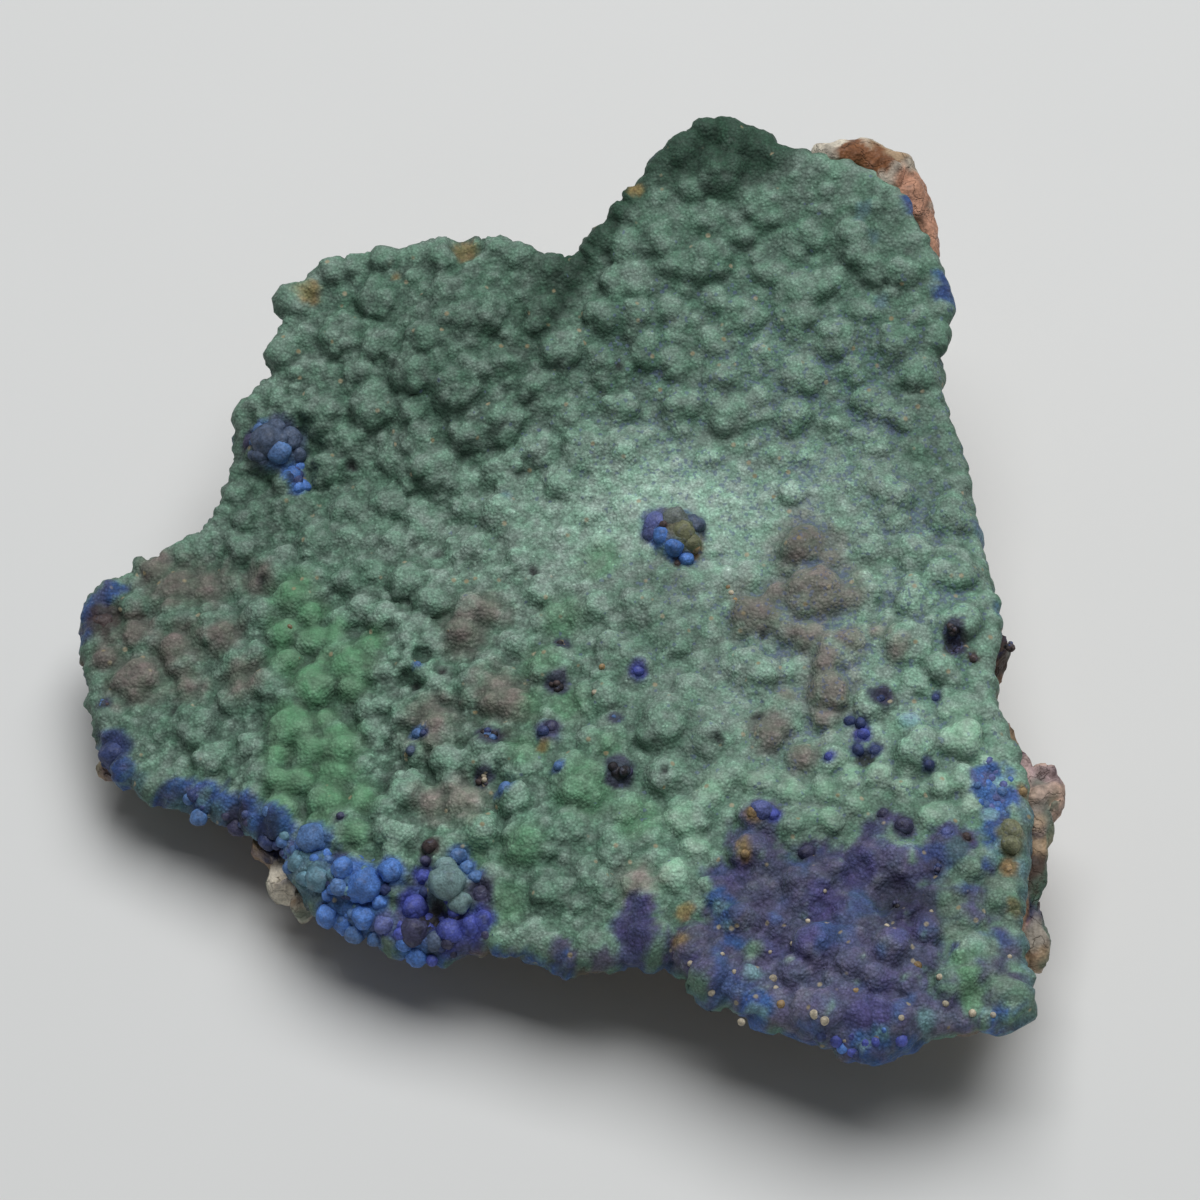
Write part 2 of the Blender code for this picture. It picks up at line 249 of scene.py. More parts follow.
# Stains that lie in one place: x, y, z, radius in millimetres, and the colour.
ROCK_STAINS = (
    (18.6, 36, 27.6, 2.8, QUARTZ_WHITE), (21.2, 36.4, 27.8, 1.8, QUARTZ_WHITE),
    (22.8, 35.4, 27.8, 1.5, TAN), (20.6, 36.6, 28, 0.6, RUST), (20.6, 34.8, 27.8, 1.7, RUST),
    (22.8, 34.4, 27.8, 1.8, RUST), (25.4, 32.2, 26.6, 2.3, SALMON), (26.9, 29.4, 24.8, 2.8, SALMON),
    (27.9, 26.4, 23, 2.2, SALMON), (23.9, 35.2, 27.3, 1.1, TAN), (34.4, -15.4, 11.2, 3.6, ROSY_GREY),
    (33.8, -19, 10.6, 2, TAN), (33.4, -22.6, 10, 2.2, DARK_IRON), (33.2, -25.4, 9.8, 1.6, DARK_IRON),
    (33.9, -28, 9.6, 2.2, CLAY), (33.6, -30, 9.4, 1.6, TAN), (-39.4, -10.2, 4.6, 2.4, TAN),
    (-38.9, -9, 5.3, 0.8, RUST), (-24.2, -20.4, 5.2, 2.2, QUARTZ_WHITE),
    (-22.8, -22.2, 5.2, 1.5, QUARTZ_WHITE), (-26, -18.2, 5, 1.4, TAN), (-25.6, -18.2, 5.8, 0.9, DARK_IRON),
    (-23.5, -20.8, 6.3, 0.6, RUST), (31.4, -3.2, 12.8, 2.6, DARK_IRON),
)

broad = grain(rock_places, 9.0 * MM, 11.0) + 0.5 * grain(rock_places, 3.5 * MM, 2.0)
streaks = grain(rock_places * (1.0, 1.0, 2.2), 3.0 * MM, 17.0)
fine = grain(rock_places, 1.0 * MM, 23.0)
rock_paint = TAN
for colour, share in (
    (MILKY, step_up(broad, -0.15, 0.35)), (CLAY, 0.7 * step_up(streaks, 0.15, 0.5)),
    (RUST, 0.85 * step_up(-broad + 0.6 * fine, 0.2, 0.65)),
    (SALMON, 0.6 * step_up(streaks - 0.3 * broad, 0.35, 0.7)),
):
    rock_paint = washed(rock_paint, colour, share)
for x, y, z, radius, colour in ROCK_STAINS:
    apart = np.linalg.norm(rock_places / MM - (x, y, z), axis=1) / radius
    rock_paint = washed(rock_paint, colour, 1 - step_up(apart + 0.35 * fine, 0.7, 1.1))
hollow = step_up(np.abs(grain(rock_places, 2.6 * MM, 7.0)), 0.10, 0.0)
rock_paint = washed(rock_paint, DARK_IRON, 0.55 * hollow)
near_seam = (1 - step_up(depth, 3.0, 5.4)) * step_up(depth, 1.8, 3.0)
blue_stain = near_seam * step_up(grain(rock_places, 2.2 * MM, 31.0), 0.05, 0.3)
rock_paint = washed(rock_paint, SEAM_BLUE, 0.35 * blue_stain)
green_stain = near_seam * step_up(grain(rock_places, 2.8 * MM, 37.0), 0.1, 0.35)
rock_paint = washed(rock_paint, SEAM_GREEN, 0.7 * green_stain)
set_paint(rock_mesh, "rock_paint", rock_paint)


def new_finish(name):
    """A named node finish: its tree, its shader and the object's own coordinates."""
    finish = bpy.data.materials.new(name)
    finish.use_nodes = True
    tree = finish.node_tree
    place = tree.nodes.new("ShaderNodeTexCoord").outputs["Object"]
    return finish, tree, tree.nodes["Principled BSDF"], place


def new_node(tree, kind, inputs, **settings):
    """A node with its settings. Its inputs are numbers, colours or what other nodes give."""
    made = tree.nodes.new("ShaderNode" + kind)
    for setting, value in settings.items():
        setattr(made, setting, value)
    for socket, value in inputs.items():
        if isinstance(value, bpy.types.NodeSocket):
            tree.links.new(value, made.inputs[socket])
        else:
            made.inputs[socket].default_value = value
    return made


def noise_node(tree, place, size, detail=2.0):
    """Noise from 0 to 1 with patches of the size given."""
    inputs = {"Vector": place, "Scale": 1.0 / size, "Detail": detail}
    return new_node(tree, "TexNoise", inputs).outputs["Fac"]


def parted(tree, colour):
    """The red, green and blue of a cell's colour, for use as numbers of its own."""
    return new_node(tree, "SeparateColor", {"Color": colour}).outputs


def cells_node(tree, place, size):
    """Cells of the size given: the distance from each cell's middle, and a colour for each cell."""
    return new_node(tree, "TexVoronoi", {"Vector": place, "Scale": 1.0 / size})


def ranged(tree, value, low, high, out_low, out_high):
    """A value from low to high, stretched to run between two others."""
    inputs = {"Value": value, "From Min": low, "From Max": high, "To Min": out_low, "To Max": out_high}
    return new_node(tree, "MapRange", inputs).outputs["Result"]


def blotches(tree, place, size, detail, low, high):
    """Noise with patches of the size given that runs between two values."""
    return ranged(tree, noise_node(tree, place, size, detail), 0.3, 0.7, low, high)


def math_node(tree, operation, first, second):
    """What a sum, product or comparison of two values gives."""
    return new_node(tree, "Math", {0: first, 1: second}, operation=operation).outputs["Value"]


def mixed(tree, share, under, over, kind="MIX"):
    """One colour over another, by a share that is a number or a socket."""
    under, over = ((*each, 1.0) if isinstance(each, tuple) else each for each in (under, over))
    inputs = {0: share, 6: under, 7: over}
    return new_node(tree, "Mix", inputs, data_type="RGBA", blend_type=kind).outputs[2]


def shaded(tree, colour, shade, share=1.0):
    """A colour made darker or lighter by a shade that is multiplied into it."""
    return mixed(tree, share, colour, shade, "MULTIPLY")


def attribute_node(tree, name, output):
    """What a layer of the mesh's own points says."""
    return new_node(tree, "Attribute", {}, attribute_name=name).outputs[output]


def bump_node(tree, height, depth, under=None):
    """Relief of the depth given, laid over other relief."""
    inputs = {"Height": height, "Distance": depth, "Strength": 1.0}
    if under:
        inputs["Normal"] = under
    return new_node(tree, "Bump", inputs).outputs["Normal"]


def complete(tree, shader, colour, gloss, relief, shine):
    """The finish takes its colour, roughness and relief, and shines by a number."""
    for name, value in (("Base Color", colour), ("Roughness", gloss), ("Normal", relief)):
        tree.links.new(value, shader.inputs[name])
    shader.inputs["Specular IOR Level"].default_value = shine


def put_in(name, mesh, finish):
    """A named piece of the scene, shaded smooth."""
    mesh.shade_smooth()
    mesh.materials.append(finish)
    piece = bpy.data.objects.new(name, mesh)
    bpy.context.scene.collection.objects.link(piece)
    return piece


rock_finish, tree, shader, place = new_finish("iron_stained_quartz_finish")
colour = attribute_node(tree, "rock_paint", "Color")
colour = shaded(tree, colour, blotches(tree, place, 1.3 * MM, 4.0, 0.72, 1.25))
colour = shaded(tree, colour, blotches(tree, place, 0.22 * MM, 2.0, 0.75, 1.2), 0.8)
vein = math_node(tree, "SUBTRACT", noise_node(tree, place, 2.2 * MM, 4.0), 0.5)
cracks = math_node(tree, "ABSOLUTE", vein, 0.0)
crack_share = ranged(tree, cracks, 0.0, 0.012, 0.45, 0.0)
colour = mixed(tree, crack_share, colour, DARK_IRON)
gloss = blotches(tree, place, 1.0 * MM, 3.0, 0.45, 0.85)
relief = bump_node(tree, noise_node(tree, place, 0.8 * MM, 5.0), 0.25 * MM)
relief = bump_node(tree, cells_node(tree, place, 0.30 * MM).outputs["Distance"], 0.06 * MM, relief)
relief = bump_node(tree, ranged(tree, cracks, 0.0, 0.02, 0.0, 1.0), 0.06 * MM, relief)
complete(tree, shader, colour, gloss, relief, 0.4)

host_rock = put_in("broken_host_rock", rock_mesh, rock_finish)
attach(host_rock, "root")
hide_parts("host_rock")


# Malachite crust. A plate of fibrous green malachite two to four millimetres thick, which grew as
# rounded lumps, each covered with smaller lumps and a velvet of tiny crystals. Blue and violet
# azurite colours its front right corner, spots in it and parts of its broken edge.

PITCH = 0.255 * MM
SHEET_HALF = 40.0 * MM
SHEET_MIDDLE = (-3.5 * MM, 0.0, 0.0)
TOP_INSET = 1.3 * MM
RELAXED_BAND = 2.6 * MM
EASINGS = 10
# From the top's edge outwards and down the rim, in millimetres, ring by ring, and then the rings of
# the underside, as a share of the way out from the middle.
RIM_OUT = (0.0, 0.45, 0.80, 0.95, 1.0, 1.0, 0.90, 0.60, 0.10)
RIM_DOWN = (0.0, 0.12, 0.45, 0.90, 1.4, 2.0, 2.60, 3.10, 3.40)
UNDER_SHARE = (0.985, 0.968, 0.948, 0.925, 0.90, 0.875, 0.85, 0.82, 0.79, 0.75, 0.68, 0.45)
UNDER_DEPTH = 3.5
# While the plate is made, each ring lies lower than the last, which numbers its points.
RING_STEP = 0.1

curve_tree = kdtree.KDTree(len(curve))
for index, (x, y) in enumerate(curve):
    curve_tree.insert((x, y, 0.0), index)
curve_tree.balance()


def edge_nearest(flat_places):
    """Number of the nearest point of the crust's edge, and the distance to it, negative outside."""
    found = [curve_tree.find((x, y, 0.0))[1:] for x, y in flat_places]
    number, apart = np.array([each[0] for each in found]), np.array([each[1] for each in found])
    reach = edge_reach(np.arctan2(flat_places[:, 1], flat_places[:, 0]))
    return number, np.where(np.hypot(*flat_places.T) < reach, apart, -apart)


# An even sheet is cut to the outline, its rim eased onto the edge, and turned down and under.
crust_form = bmesh.new()
steps = round(2 * SHEET_HALF / PITCH)
bmesh.ops.create_grid(
    crust_form, x_segments=steps, y_segments=steps, size=SHEET_HALF,
    matrix=Matrix.Translation(SHEET_MIDDLE),
)
sheet = list(crust_form.verts)
room = edge_nearest(np.array([vert.co.xy for vert in sheet]))[1]
outside = [vert for vert, distance in zip(sheet, room) if distance < TOP_INSET]
near_rim = [vert for vert, distance in zip(sheet, room) if TOP_INSET <= distance < RELAXED_BAND]
bmesh.ops.delete(crust_form, geom=outside, context="VERTS")
loose = [vert for vert in crust_form.verts if not vert.link_faces]
bmesh.ops.delete(crust_form, geom=loose, context="VERTS")
pinched = [
    vert for vert in crust_form.verts if sum(edge.is_boundary for edge in vert.link_edges) > 2
]
bmesh.ops.delete(crust_form, geom=pinched, context="VERTS")
near_rim = [vert for vert in near_rim if vert.is_valid]
border = [vert for vert in crust_form.verts if vert.is_boundary]
for easing in range(EASINGS):
    bmesh.ops.smooth_vert(
        crust_form, verts=near_rim, factor=0.5, use_axis_x=True, use_axis_y=True, use_axis_z=False
    )
    for vert in border:
        nearest = curve_tree.find((vert.co.x, vert.co.y, 0.0))[0]
        vert.co = nearest + (vert.co - nearest).normalized() * TOP_INSET
lip = [edge for edge in crust_form.edges if edge.is_boundary]
ring_count = len(RIM_OUT) - 1 + len(UNDER_SHARE)
for ring in range(1, ring_count + 1):
    grown = bmesh.ops.extrude_edge_only(crust_form, edges=lip)["geom"]
    for vert in grown:
        if isinstance(vert, bmesh.types.BMVert):
            vert.co.z = -RING_STEP * ring
    lip = [edge for edge in grown if isinstance(edge, bmesh.types.BMEdge) and edge.is_boundary]
last = list({vert for edge in lip for vert in edge.verts})
bmesh.ops.pointmerge(crust_form, verts=last, merge_co=(0.0, 0.0, -RING_STEP * (ring_count + 1)))
bmesh.ops.recalc_face_normals(crust_form, faces=crust_form.faces)
crust_mesh = made_mesh(crust_form, "malachite_crust_dressed")

flat = point_rows(crust_mesh, "co")
ring = np.rint(-flat[:, 2] / RING_STEP).astype(int)
turn = np.arctan2(flat[:, 1], flat[:, 0])
lead = EDGE_STEPS // 4
along = np.roll(curve, -lead, 0) - np.roll(curve, lead, 0)
curve_away = np.stack([along[:, 1], -along[:, 0]], 1) / np.linalg.norm(along, axis=1)[:, None]
away = curve_away[edge_nearest(flat[:, :2])[0]]
below = ring > len(RIM_OUT) - 1
rim_out = np.where(below, 0.0, np.interp(ring, range(len(RIM_OUT)), RIM_OUT)) * MM
under_share = np.interp(ring, range(len(RIM_OUT) - 1, ring_count + 1), (1.0, *UNDER_SHARE))
plan = (flat[:, :2] + away * rim_out[:, None]) * np.where(below, under_share, 1.0)[:, None]
turned = np.stack([np.cos(turn), np.sin(turn), np.zeros_like(turn)], 1)
thickness = 0.86 + 0.32 * grain(turned, 0.16) + 0.12 * grain(turned, 0.05, 4.0)
thickness = np.where(below, 1 + (thickness - 1) * step_up(under_share, 0.8, 1.0), thickness)
down = np.where(below, UNDER_DEPTH, np.interp(ring, range(len(RIM_DOWN)), RIM_DOWN)) * thickness
places = np.concatenate([plan, (crust_top(plan[:, 0], plan[:, 1]) - down * MM)[:, None]], 1)
broken = np.where(below, 0.35, np.interp(ring, (1, 4, 8), (0.0, 0.6, 0.6))) * (ring > 0)
for axis in range(3):
    ragged = grain(places, 1.7 * MM, 10.0 * axis + 3.0) + 0.5 * grain(places, 0.7 * MM, 10.0 * axis)
    places[:, axis] += ragged * broken * MM * (0.8 if axis < 2 else 0.5)
set_places(crust_mesh, places)

# The lumps of the crust. Those that stand out by size or place: x, y and radius in millimetres,
# and how far they stand out of the crust, as a share of the radius.
BIG_LUMPS = (
    (6, 5.6, 2.7), (12.7, -7.1, 2.2), (12.6, -3.8, 1.5), (-26.1, 15.5, 2.6), (-24.8, 12.8, 1.9),
    (-11.5, -23.5, 2.3), (27.5, 6.5, 2.2), (24.6, 3, 2), (-18.8, -22, 2.2), (-21.7, -20.6, 2),
    (-15.8, -21.8, 2), (-21, -15.2, 2.2), (23.2, 8, 1.9), (-22, -5, 2.2), (4, -28.4, 2.2), (3.1, -5.9, 1.7),
    (1.5, -14.4, 1.8), (27.7, -3.6, 1.8), (-8.7, -12.7, 2.2), (9.6, 34.2, 2.5), (-33.5, 2, 2.3),
    (-36.5, -3.5, 2.2), (24.5, -14.5, 2.3), (-14.5, -1.5, 2.3), (26.5, -33, 2),
)
BIG_STAND = 0.5
# Low cushions over the rear half and round the opened nodule, by the radius that shows.
CUSHIONS = (
    (-20.8, 26.9, 1.2), (-17.2, 23, 1.8), (-13.8, 22.2, 1.6), (-18.9, 20.9, 1.6), (-14.5, 20.1, 1.9),
    (-18.1, 18.2, 1.9), (-14.7, 17.6, 1.6), (-7.7, 20.2, 1.4), (-10.2, 19.7, 1.1), (-4.1, 20.2, 1.1),
    (-8, 16.6, 2.1), (-5, 18.4, 1.4), (-19.7, 15.8, 1.9), (-14.1, 15.3, 1.6), (-11, 11.9, 1.9),
    (-16.6, 10.5, 1.6), (-26.4, 11.6, 1.8), (-4.6, 13.8, 1.8), (-2.6, 16.2, 1.6), (-20.4, 13, 1.1),
    (-20.6, 10.2, 1.2), (-12.4, 23.5, 0.9), (-6, 6.5, 1.4), (-1.6, 14.5, 1.4), (-17.2, 29.2, 1.1),
    (-25.1, 23, 1.1), (-24.7, 21, 1.1), (-23.9, 18.4, 1.2), (-24.8, 26.9, 0.9), (-12, 26, 1.4),
    (2.3, 28.7, 1.5), (4.9, 29.8, 1.7), (2.7, 26.4, 2), (6, 27.6, 1.4), (8.6, 27.9, 1.8), (8.6, 30.6, 1.4),
    (13.2, 32.3, 1.8), (13.9, 27.2, 1.8), (11.5, 29.1, 1.2), (17, 29.4, 1.6), (20.5, 28.8, 1.8),
    (21.7, 27, 1.6), (16.2, 25.2, 2), (18.4, 25.7, 1.2), (11.5, 23.5, 2), (9.2, 24.6, 1.2),
    (5.9, 23.5, 1.6), (3.1, 23.4, 1.8), (18.8, 21.2, 1.8), (16.4, 23.1, 1.2), (25.5, 22.7, 1.4),
    (24.5, 26.2, 1.4), (23.7, 20.8, 1.6), (20, 19.1, 1.4), (25.2, 18.5, 1.6), (16.3, 18.8, 1.8),
    (12.7, 20.2, 1.4), (6.1, 20.1, 1.6), (3.7, 20.9, 1.4), (1.8, 19.2, 1.2), (6.5, 16.9, 1.6),
    (10.2, 16, 1.6), (15.5, 15.6, 1.6), (21.9, 13, 1.8), (24.2, 15.4, 1.4), (25.1, 12.3, 1.2),
    (3.3, 14.5, 1.4), (14.2, 12.4, 1.6), (3.8, 4.2, 1.1), (5, 2.1, 1.2), (4.5, 0.6, 0.9), (7.2, 1.3, 1.5),
    (9.3, 1.8, 1.5), (8.4, -0.1, 1.2), (5.7, -1.3, 1.1),
)
CUSHION_SPREAD = 1.45
CUSHION_STAND = (0.12, 0.28)
# Knobs of the blue front right corner.
KNOBS = (
    (15.8, -25.1, 2.2), (18.7, -26.6, 1.4), (21.8, -22.5, 2.3), (13, -23.3, 1.5), (16.7, -30.1, 2.3),
    (14.8, -32.2, 2), (18.9, -30.2, 1.6), (21.9, -30.6, 2.1), (24.3, -29.2, 1.5), (19.3, -35.4, 1.8),
    (21.8, -36, 2.2), (16.6, -35.1, 2), (17.9, -32.9, 1.5), (24.6, -31.6, 1.5), (23.1, -33.1, 1.6),
    (13.2, -28.1, 1.5), (10.4, -27.1, 1.7), (8.3, -31.4, 1.9), (11.3, -32.8, 1.5), (7, -29.4, 1.6),
    (24.1, -35.4, 1.4), (12, -25.3, 1.5), (28, -30.6, 2.2), (27.5, -33.1, 1.7), (30, -34, 1.9),
    (30.1, -25.9, 1.7), (26.9, -26.1, 1.5), (28.1, -23.9, 1.3), (20.8, -33, 1.4), (12.1, -29.9, 1.3),
    (11.3, -21.8, 1.9), (26.8, -22.4, 2.1), (12.2, -19.2, 1.9), (31, -21.4, 1.2),
)
KNOB_STAND = (0.34, 0.56)
# Rounded lumps beside the bright green streak.
LEFT_LUMPS = (
    (-25.9, -5, 2), (-26.7, -12.2, 1.6), (-26.9, -14.3, 1.3), (-16.1, -2.3, 1.8), (-13, -2.6, 1.6),
    (-14.3, -4.6, 2.2), (-12.3, -6.3, 1.8), (-9.4, -6.5, 2.1), (-17.4, -9.7, 1.6), (-17.6, -12, 1.6),
    (-15.5, -8.4, 1.6), (-12.4, -10.1, 2.4), (-14.1, -11.6, 1.6), (-11.5, -13.1, 1.8), (-14.9, -15.1, 2.1),
    (-12.7, -16, 1.6), (-10.2, -16.5, 2.1), (-9.3, -18.9, 2.2), (-15.7, -19.3, 1.8), (-7.2, -13, 1.6),
    (-6.6, -8.7, 1.8), (-8.1, -10.5, 1.3), (-6.3, -16.8, 1.6), (-8.4, -4.2, 1.6), (-7.3, -6.5, 1.3),
    (-22.9, 4.5, 1.8), (-20, 3.5, 1.6), (-18, 4.5, 1.6), (-15.3, 3.3, 1.6), (-18.8, 1.2, 1.6),
    (-17, 0, 1.6), (-20.5, 0.1, 1.3), (-13.5, 1.1, 1.6), (-10.2, 0.3, 1.6), (-11, -1.8, 1.6),
    (-16.6, -16.8, 1.6), (-16.6, -18.5, 1.2), (-18.1, -7.7, 1.3),
)
LEFT_STAND = (0.42, 0.62)
# The rest grow in three generations, each on the one before: least and most radius, how close they
# crowd, how far they stand out, how much they melt together, how bent their outlines are, and tries.
# The first keeps clear of the listed lumps, and lies lower over the back right.
BROAD = {
    "radii": (2, 3.4), "crowding": 0.6, "stand": (0.24, 0.4), "melt": 0.2, "bend": 0.36, "tries": 3200,
}
MIDDLING = {
    "radii": (0.8, 1.7), "crowding": 0.56, "stand": (0.12, 0.3), "melt": 0.13, "bend": 0.24, "tries": 14000,
}
SMALL = {
    "radii": (0.28, 0.66), "crowding": 0.64, "stand": (0.24, 0.5), "melt": 0.045, "bend": 0, "tries": 20000,
}
CLEAR_SHARE = 0.66
LOW_LYING = 0.38
# Fields with fewer or lower lumps, with fine ones, and with painted highlight and shade on the lumps:
# middle and half size.
CALM_CENTRE = (8.0, 6.5)
CALM_SIZE = (15.0, 7.0)
LOW_CENTRE = (17.0, 25.0)
LOW_SIZE = (14.0, 13.0)
FINE_CENTRE = (15.0, -28.0)
FINE_SIZE = (13.0, 9.0)
LEFT_CENTRE = (-17.0, -10.0)
LEFT_SIZE = (13.0, 13.0)
# Small lumps in a row along the rim.
RIM_PITCH = 1.25
RIM_WANDER = 0.35
RIM_RADII = (0.5, 0.95)
RIM_SINK = (0.5, 1.9)
GRAIN_DEPTH = 0.036 * MM
# Smooth fields of silky bright green, soft green and pale mint: x, y and radius in millimetres.
STREAK = (
    (-24.3, 2.3, 1.8), (-23, 0.9, 1.3), (-25.1, -0.7, 1.4), (-22.7, -1.2, 1.4), (-21.1, -1.1, 1.2),
    (-24.8, -3.3, 1.4), (-21.7, -3.6, 1.2), (-19.6, -4.1, 2.1), (-22.6, -5.6, 2), (-19.4, -5.9, 1.4),
    (-24.1, -9.1, 2.2), (-21.6, -8.5, 1.2), (-20.4, -10.9, 2), (-22.4, -11.2, 1.6), (-25.1, -11.5, 1.3),
    (-23.1, -13.5, 1.3), (-20.8, -13.4, 1.7), (-24.7, -13.8, 1.4), (-20.9, -15.6, 1.7), (-24.8, -16.2, 1.6),
    (-18.4, -15.9, 1.4), (-21.8, -17.6, 1.2), (-18.8, -19, 1), (-18.1, -2.2, 1.2),
)
STREAK_STAND = 0.74
SOFT_GREEN = (
    (-3, -1, 1.7), (-4.6, -5, 1.5), (0, 3.5, 1.6), (-2.5, -9, 1.6), (-5.6, -8.8, 1.4), (-5.8, -12.8, 1.5),
    (-1, -16.5, 2.4), (2.8, -19, 1.9), (-10, -21.5, 1.4), (-7.5, -25.5, 1.7), (-6, -21, 1.6),
    (0.6, -13, 1.1),
)
MINT = (
    (27.9, -13, 1.9), (24.1, -12, 1.2), (21.3, -16.3, 1.2), (23.2, -17.3, 1), (26.3, -17, 1.2),
    (19.1, -16.2, 1.1), (29.6, -15, 0.9), (17.2, -17.6, 1), (14.6, -17.4, 1.2), (11.8, -16.6, 1.2),
    (8.6, -17.2, 1.4), (6.2, -19.4, 1.3), (17.4, -19.8, 1.1), (19.6, -18.6, 1), (25.2, -19.6, 1.1),
    (28.4, -18.6, 1), (5.6, -23.6, 1.1), (7.2, -21.5, 1),
)
# Brown and mauve domes. Those on the left stand out less.
MAUVE = (
    (16.2, 3.8, 2.2), (18, 2.6, 1.2), (17, -0.3, 2.8), (19, -0.8, 1.4), (12.4, -1.7, 2.2),
    (14.2, -0.4, 1.6), (11.2, -1.9, 1.2), (16.3, -4, 1.7), (19.4, -4.9, 1.3), (21.7, -4.3, 0.8),
    (17.6, -6.9, 1.4), (17.8, -8.9, 1.9), (17.4, -10.8, 1.2), (13, -12.2, 1.5), (15.7, -14.5, 1.1),
    (14.6, -9, 0.8), (23, -6.1, 0.7), (-10.6, -1.8, 1.8), (-8.8, -0.2, 1.4), (-7.8, -8, 2),
    (-13, -9.8, 1.8), (-12.9, -16.6, 1.4), (-10.6, -16.6, 1.6), (3, -24.5, 1.4), (-33.8, 4.5, 2.2),
    (-31.4, 4.3, 1.8), (-35.6, 6.3, 1.4), (-37.2, 0.7, 1.4), (-33.6, -1, 1.8), (-36.7, -3.5, 2.1),
    (-39.2, -1.2, 1.2), (-29.8, -0.8, 1.2), (-28.2, -4.8, 1.4), (-27.4, 4.2, 1.2), (-32.6, -4.6, 1.2),
)
DOME_STAND = 0.62
LEFT_MAUVE_TO = -5.0
# Holes in the crust, and small dark hollows: x, y and radius in millimetres.
PITS = ((-12.4, -25.8, 1.2), (22.2, -26.5, 2.2), (-10.9, 29.6, 2.0), (-14.0, -4.0, 1.1), (-15.2, -5.6, 0.9))
PIT_DEPTH = 0.55
# Spots wider than this have edges no softer, and holes no deeper.
WIDE_SPOT = 1.6
DARK_SPOTS = (
    (-12.4, -5.5, 0.45), (-14.4, -6.5, 0.5), (-12.9, 5.3, 0.35), (-20, 13.2, 0.35), (1.6, 19, 0.35),
    (12.3, -10.9, 0.4), (9.2, -13.2, 0.45), (12.7, -3.9, 0.4), (-33.7, -6.6, 0.45), (-28.5, -16.4, 0.5),
    (-26.9, 4, 0.45), (5, -15.4, 0.5), (21.9, -9.9, 0.9), (-13.2, -24.9, 0.9), (-9.2, -24.4, 0.9),
    (-5.2, 2.8, 0.35), (27.6, -5.4, 1), (-7.9, -11.5, 0.5), (20.4, -14.8, 0.8),
)

edge_pairs = np.empty(len(crust_mesh.edges) * 2, np.int32)
crust_mesh.edges.foreach_get("vertices", edge_pairs)
edge_pairs = edge_pairs.reshape(-1, 2)


def smoothed(values, times):
    """Values of the crust's points averaged along its edges a number of times."""
    first, second = edge_pairs.T
    number = len(values)
    shared = np.bincount(first, minlength=number) + np.bincount(second, minlength=number)
    for turn_number in range(times):
        columns = [
            np.bincount(first, column[second], number) + np.bincount(second, column[first], number)
            for column in values.T
        ]
        values = 0.5 * values + 0.5 * (np.array(columns) / shared).T
    return values


def crust_outward(times):
    """Outward directions of the crust's points, each averaged with its neighbours."""
    outward = smoothed(point_rows(crust_mesh, "normal"), times)
    return outward / np.linalg.norm(outward, axis=1)[:, None]


def top_at(x, y):
    """Height of the crust's top at one place."""
    return float(crust_top(np.array([x]), np.array([y]))[0])


def apart_from(places, x, y):
    """How far each place lies from a point given in millimetres, seen from above."""
    return np.hypot(places[:, 0] / MM - x, places[:, 1] / MM - y)


def near_field(places, centre, size):
    """1 inside a soft oval field and 0 outside it."""
    across = (places[:, 0] / MM - centre[0]) / size[0]
    length = (places[:, 1] / MM - centre[1]) / size[1]
    return np.exp(-across ** 4 - length ** 4)


def patch(places, spots, soft=0.35, ragged=0.35):
    """How far each place lies inside a group of round spots with ragged edges, from 0 to 1."""
    inside = np.full(len(places), -9.0)
    for x, y, radius in spots:
        apart = apart_from(places, x, y) / radius
        inside = np.maximum(inside, (1 - apart) * min(radius, WIDE_SPOT))
    inside += ragged * (grain(places, 1.5 * MM, 13.0) + 0.7 * grain(places, 0.6 * MM, 19.0))
    return step_up(inside, -soft, soft)


def scattered(places, allowed, sort, shares, seed):
    """Points of a surface for lumps that crowd each other, with a radius and a stand for each."""
    draw = random.Random(seed)
    least, most = sort["radii"]
    cell = 2 * most * MM
    held, picked = {}, []
    for attempt in range(sort["tries"]):
        index = allowed[draw.randrange(len(allowed))]
        radius = draw.uniform(least, most) * MM * (0.75 + 0.25 * shares[index])
        stand = draw.uniform(*sort["stand"]) * shares[index]
        place = places[index]
        home = tuple(math.floor(number / cell) for number in place)
        near = [
            other
            for shift in itertools.product((-1, 0, 1), repeat=3)
            for other in held.get(tuple(a + b for a, b in zip(home, shift)), ())
        ]
        if draw.random() > shares[index] * 1.2:
            continue
        if any(math.dist(place, there) < sort["crowding"] * (radius + size) for there, size in near):
            continue
        held.setdefault(home, []).append((place, radius))
        picked.append((index, radius, stand))
    return picked


def swollen(places, outward, middles, radii, sort):
    """How far each place moves outwards to reach balls set in the surface, and the ball it joins."""
    melt, bend = sort["melt"] * MM, sort["bend"] * MM
    bent = places.copy()
    if bend:
        for axis in range(3):
            bent[:, axis] += bend * grain(places, 5 * bend, 100.0 + 7 * axis)
    tree = kdtree.KDTree(len(bent))
    for index, place in enumerate(bent):
        tree.insert(place, index)
    tree.balance()
    total, highest = np.ones(len(places)), np.zeros(len(places))
    owner = np.full(len(places), -1)
    for number, (middle, radius) in enumerate(zip(middles, radii)):
        near = np.array([found[1] for found in tree.find_range(middle, radius)], int)
        if not len(near):
            continue
        toward = middle - bent[near]
        ahead = (toward * outward[near]).sum(1)
        stand = ahead + np.sqrt(np.maximum(ahead ** 2 - (toward ** 2).sum(1) + radius ** 2, 0))
        stand = np.maximum(stand, 0)
        total[near] += np.exp(stand / melt) - 1
        above = stand > highest[near]
        highest[near[above]] = stand[above]
        owner[near[above]] = number
    return melt * np.log(total), owner


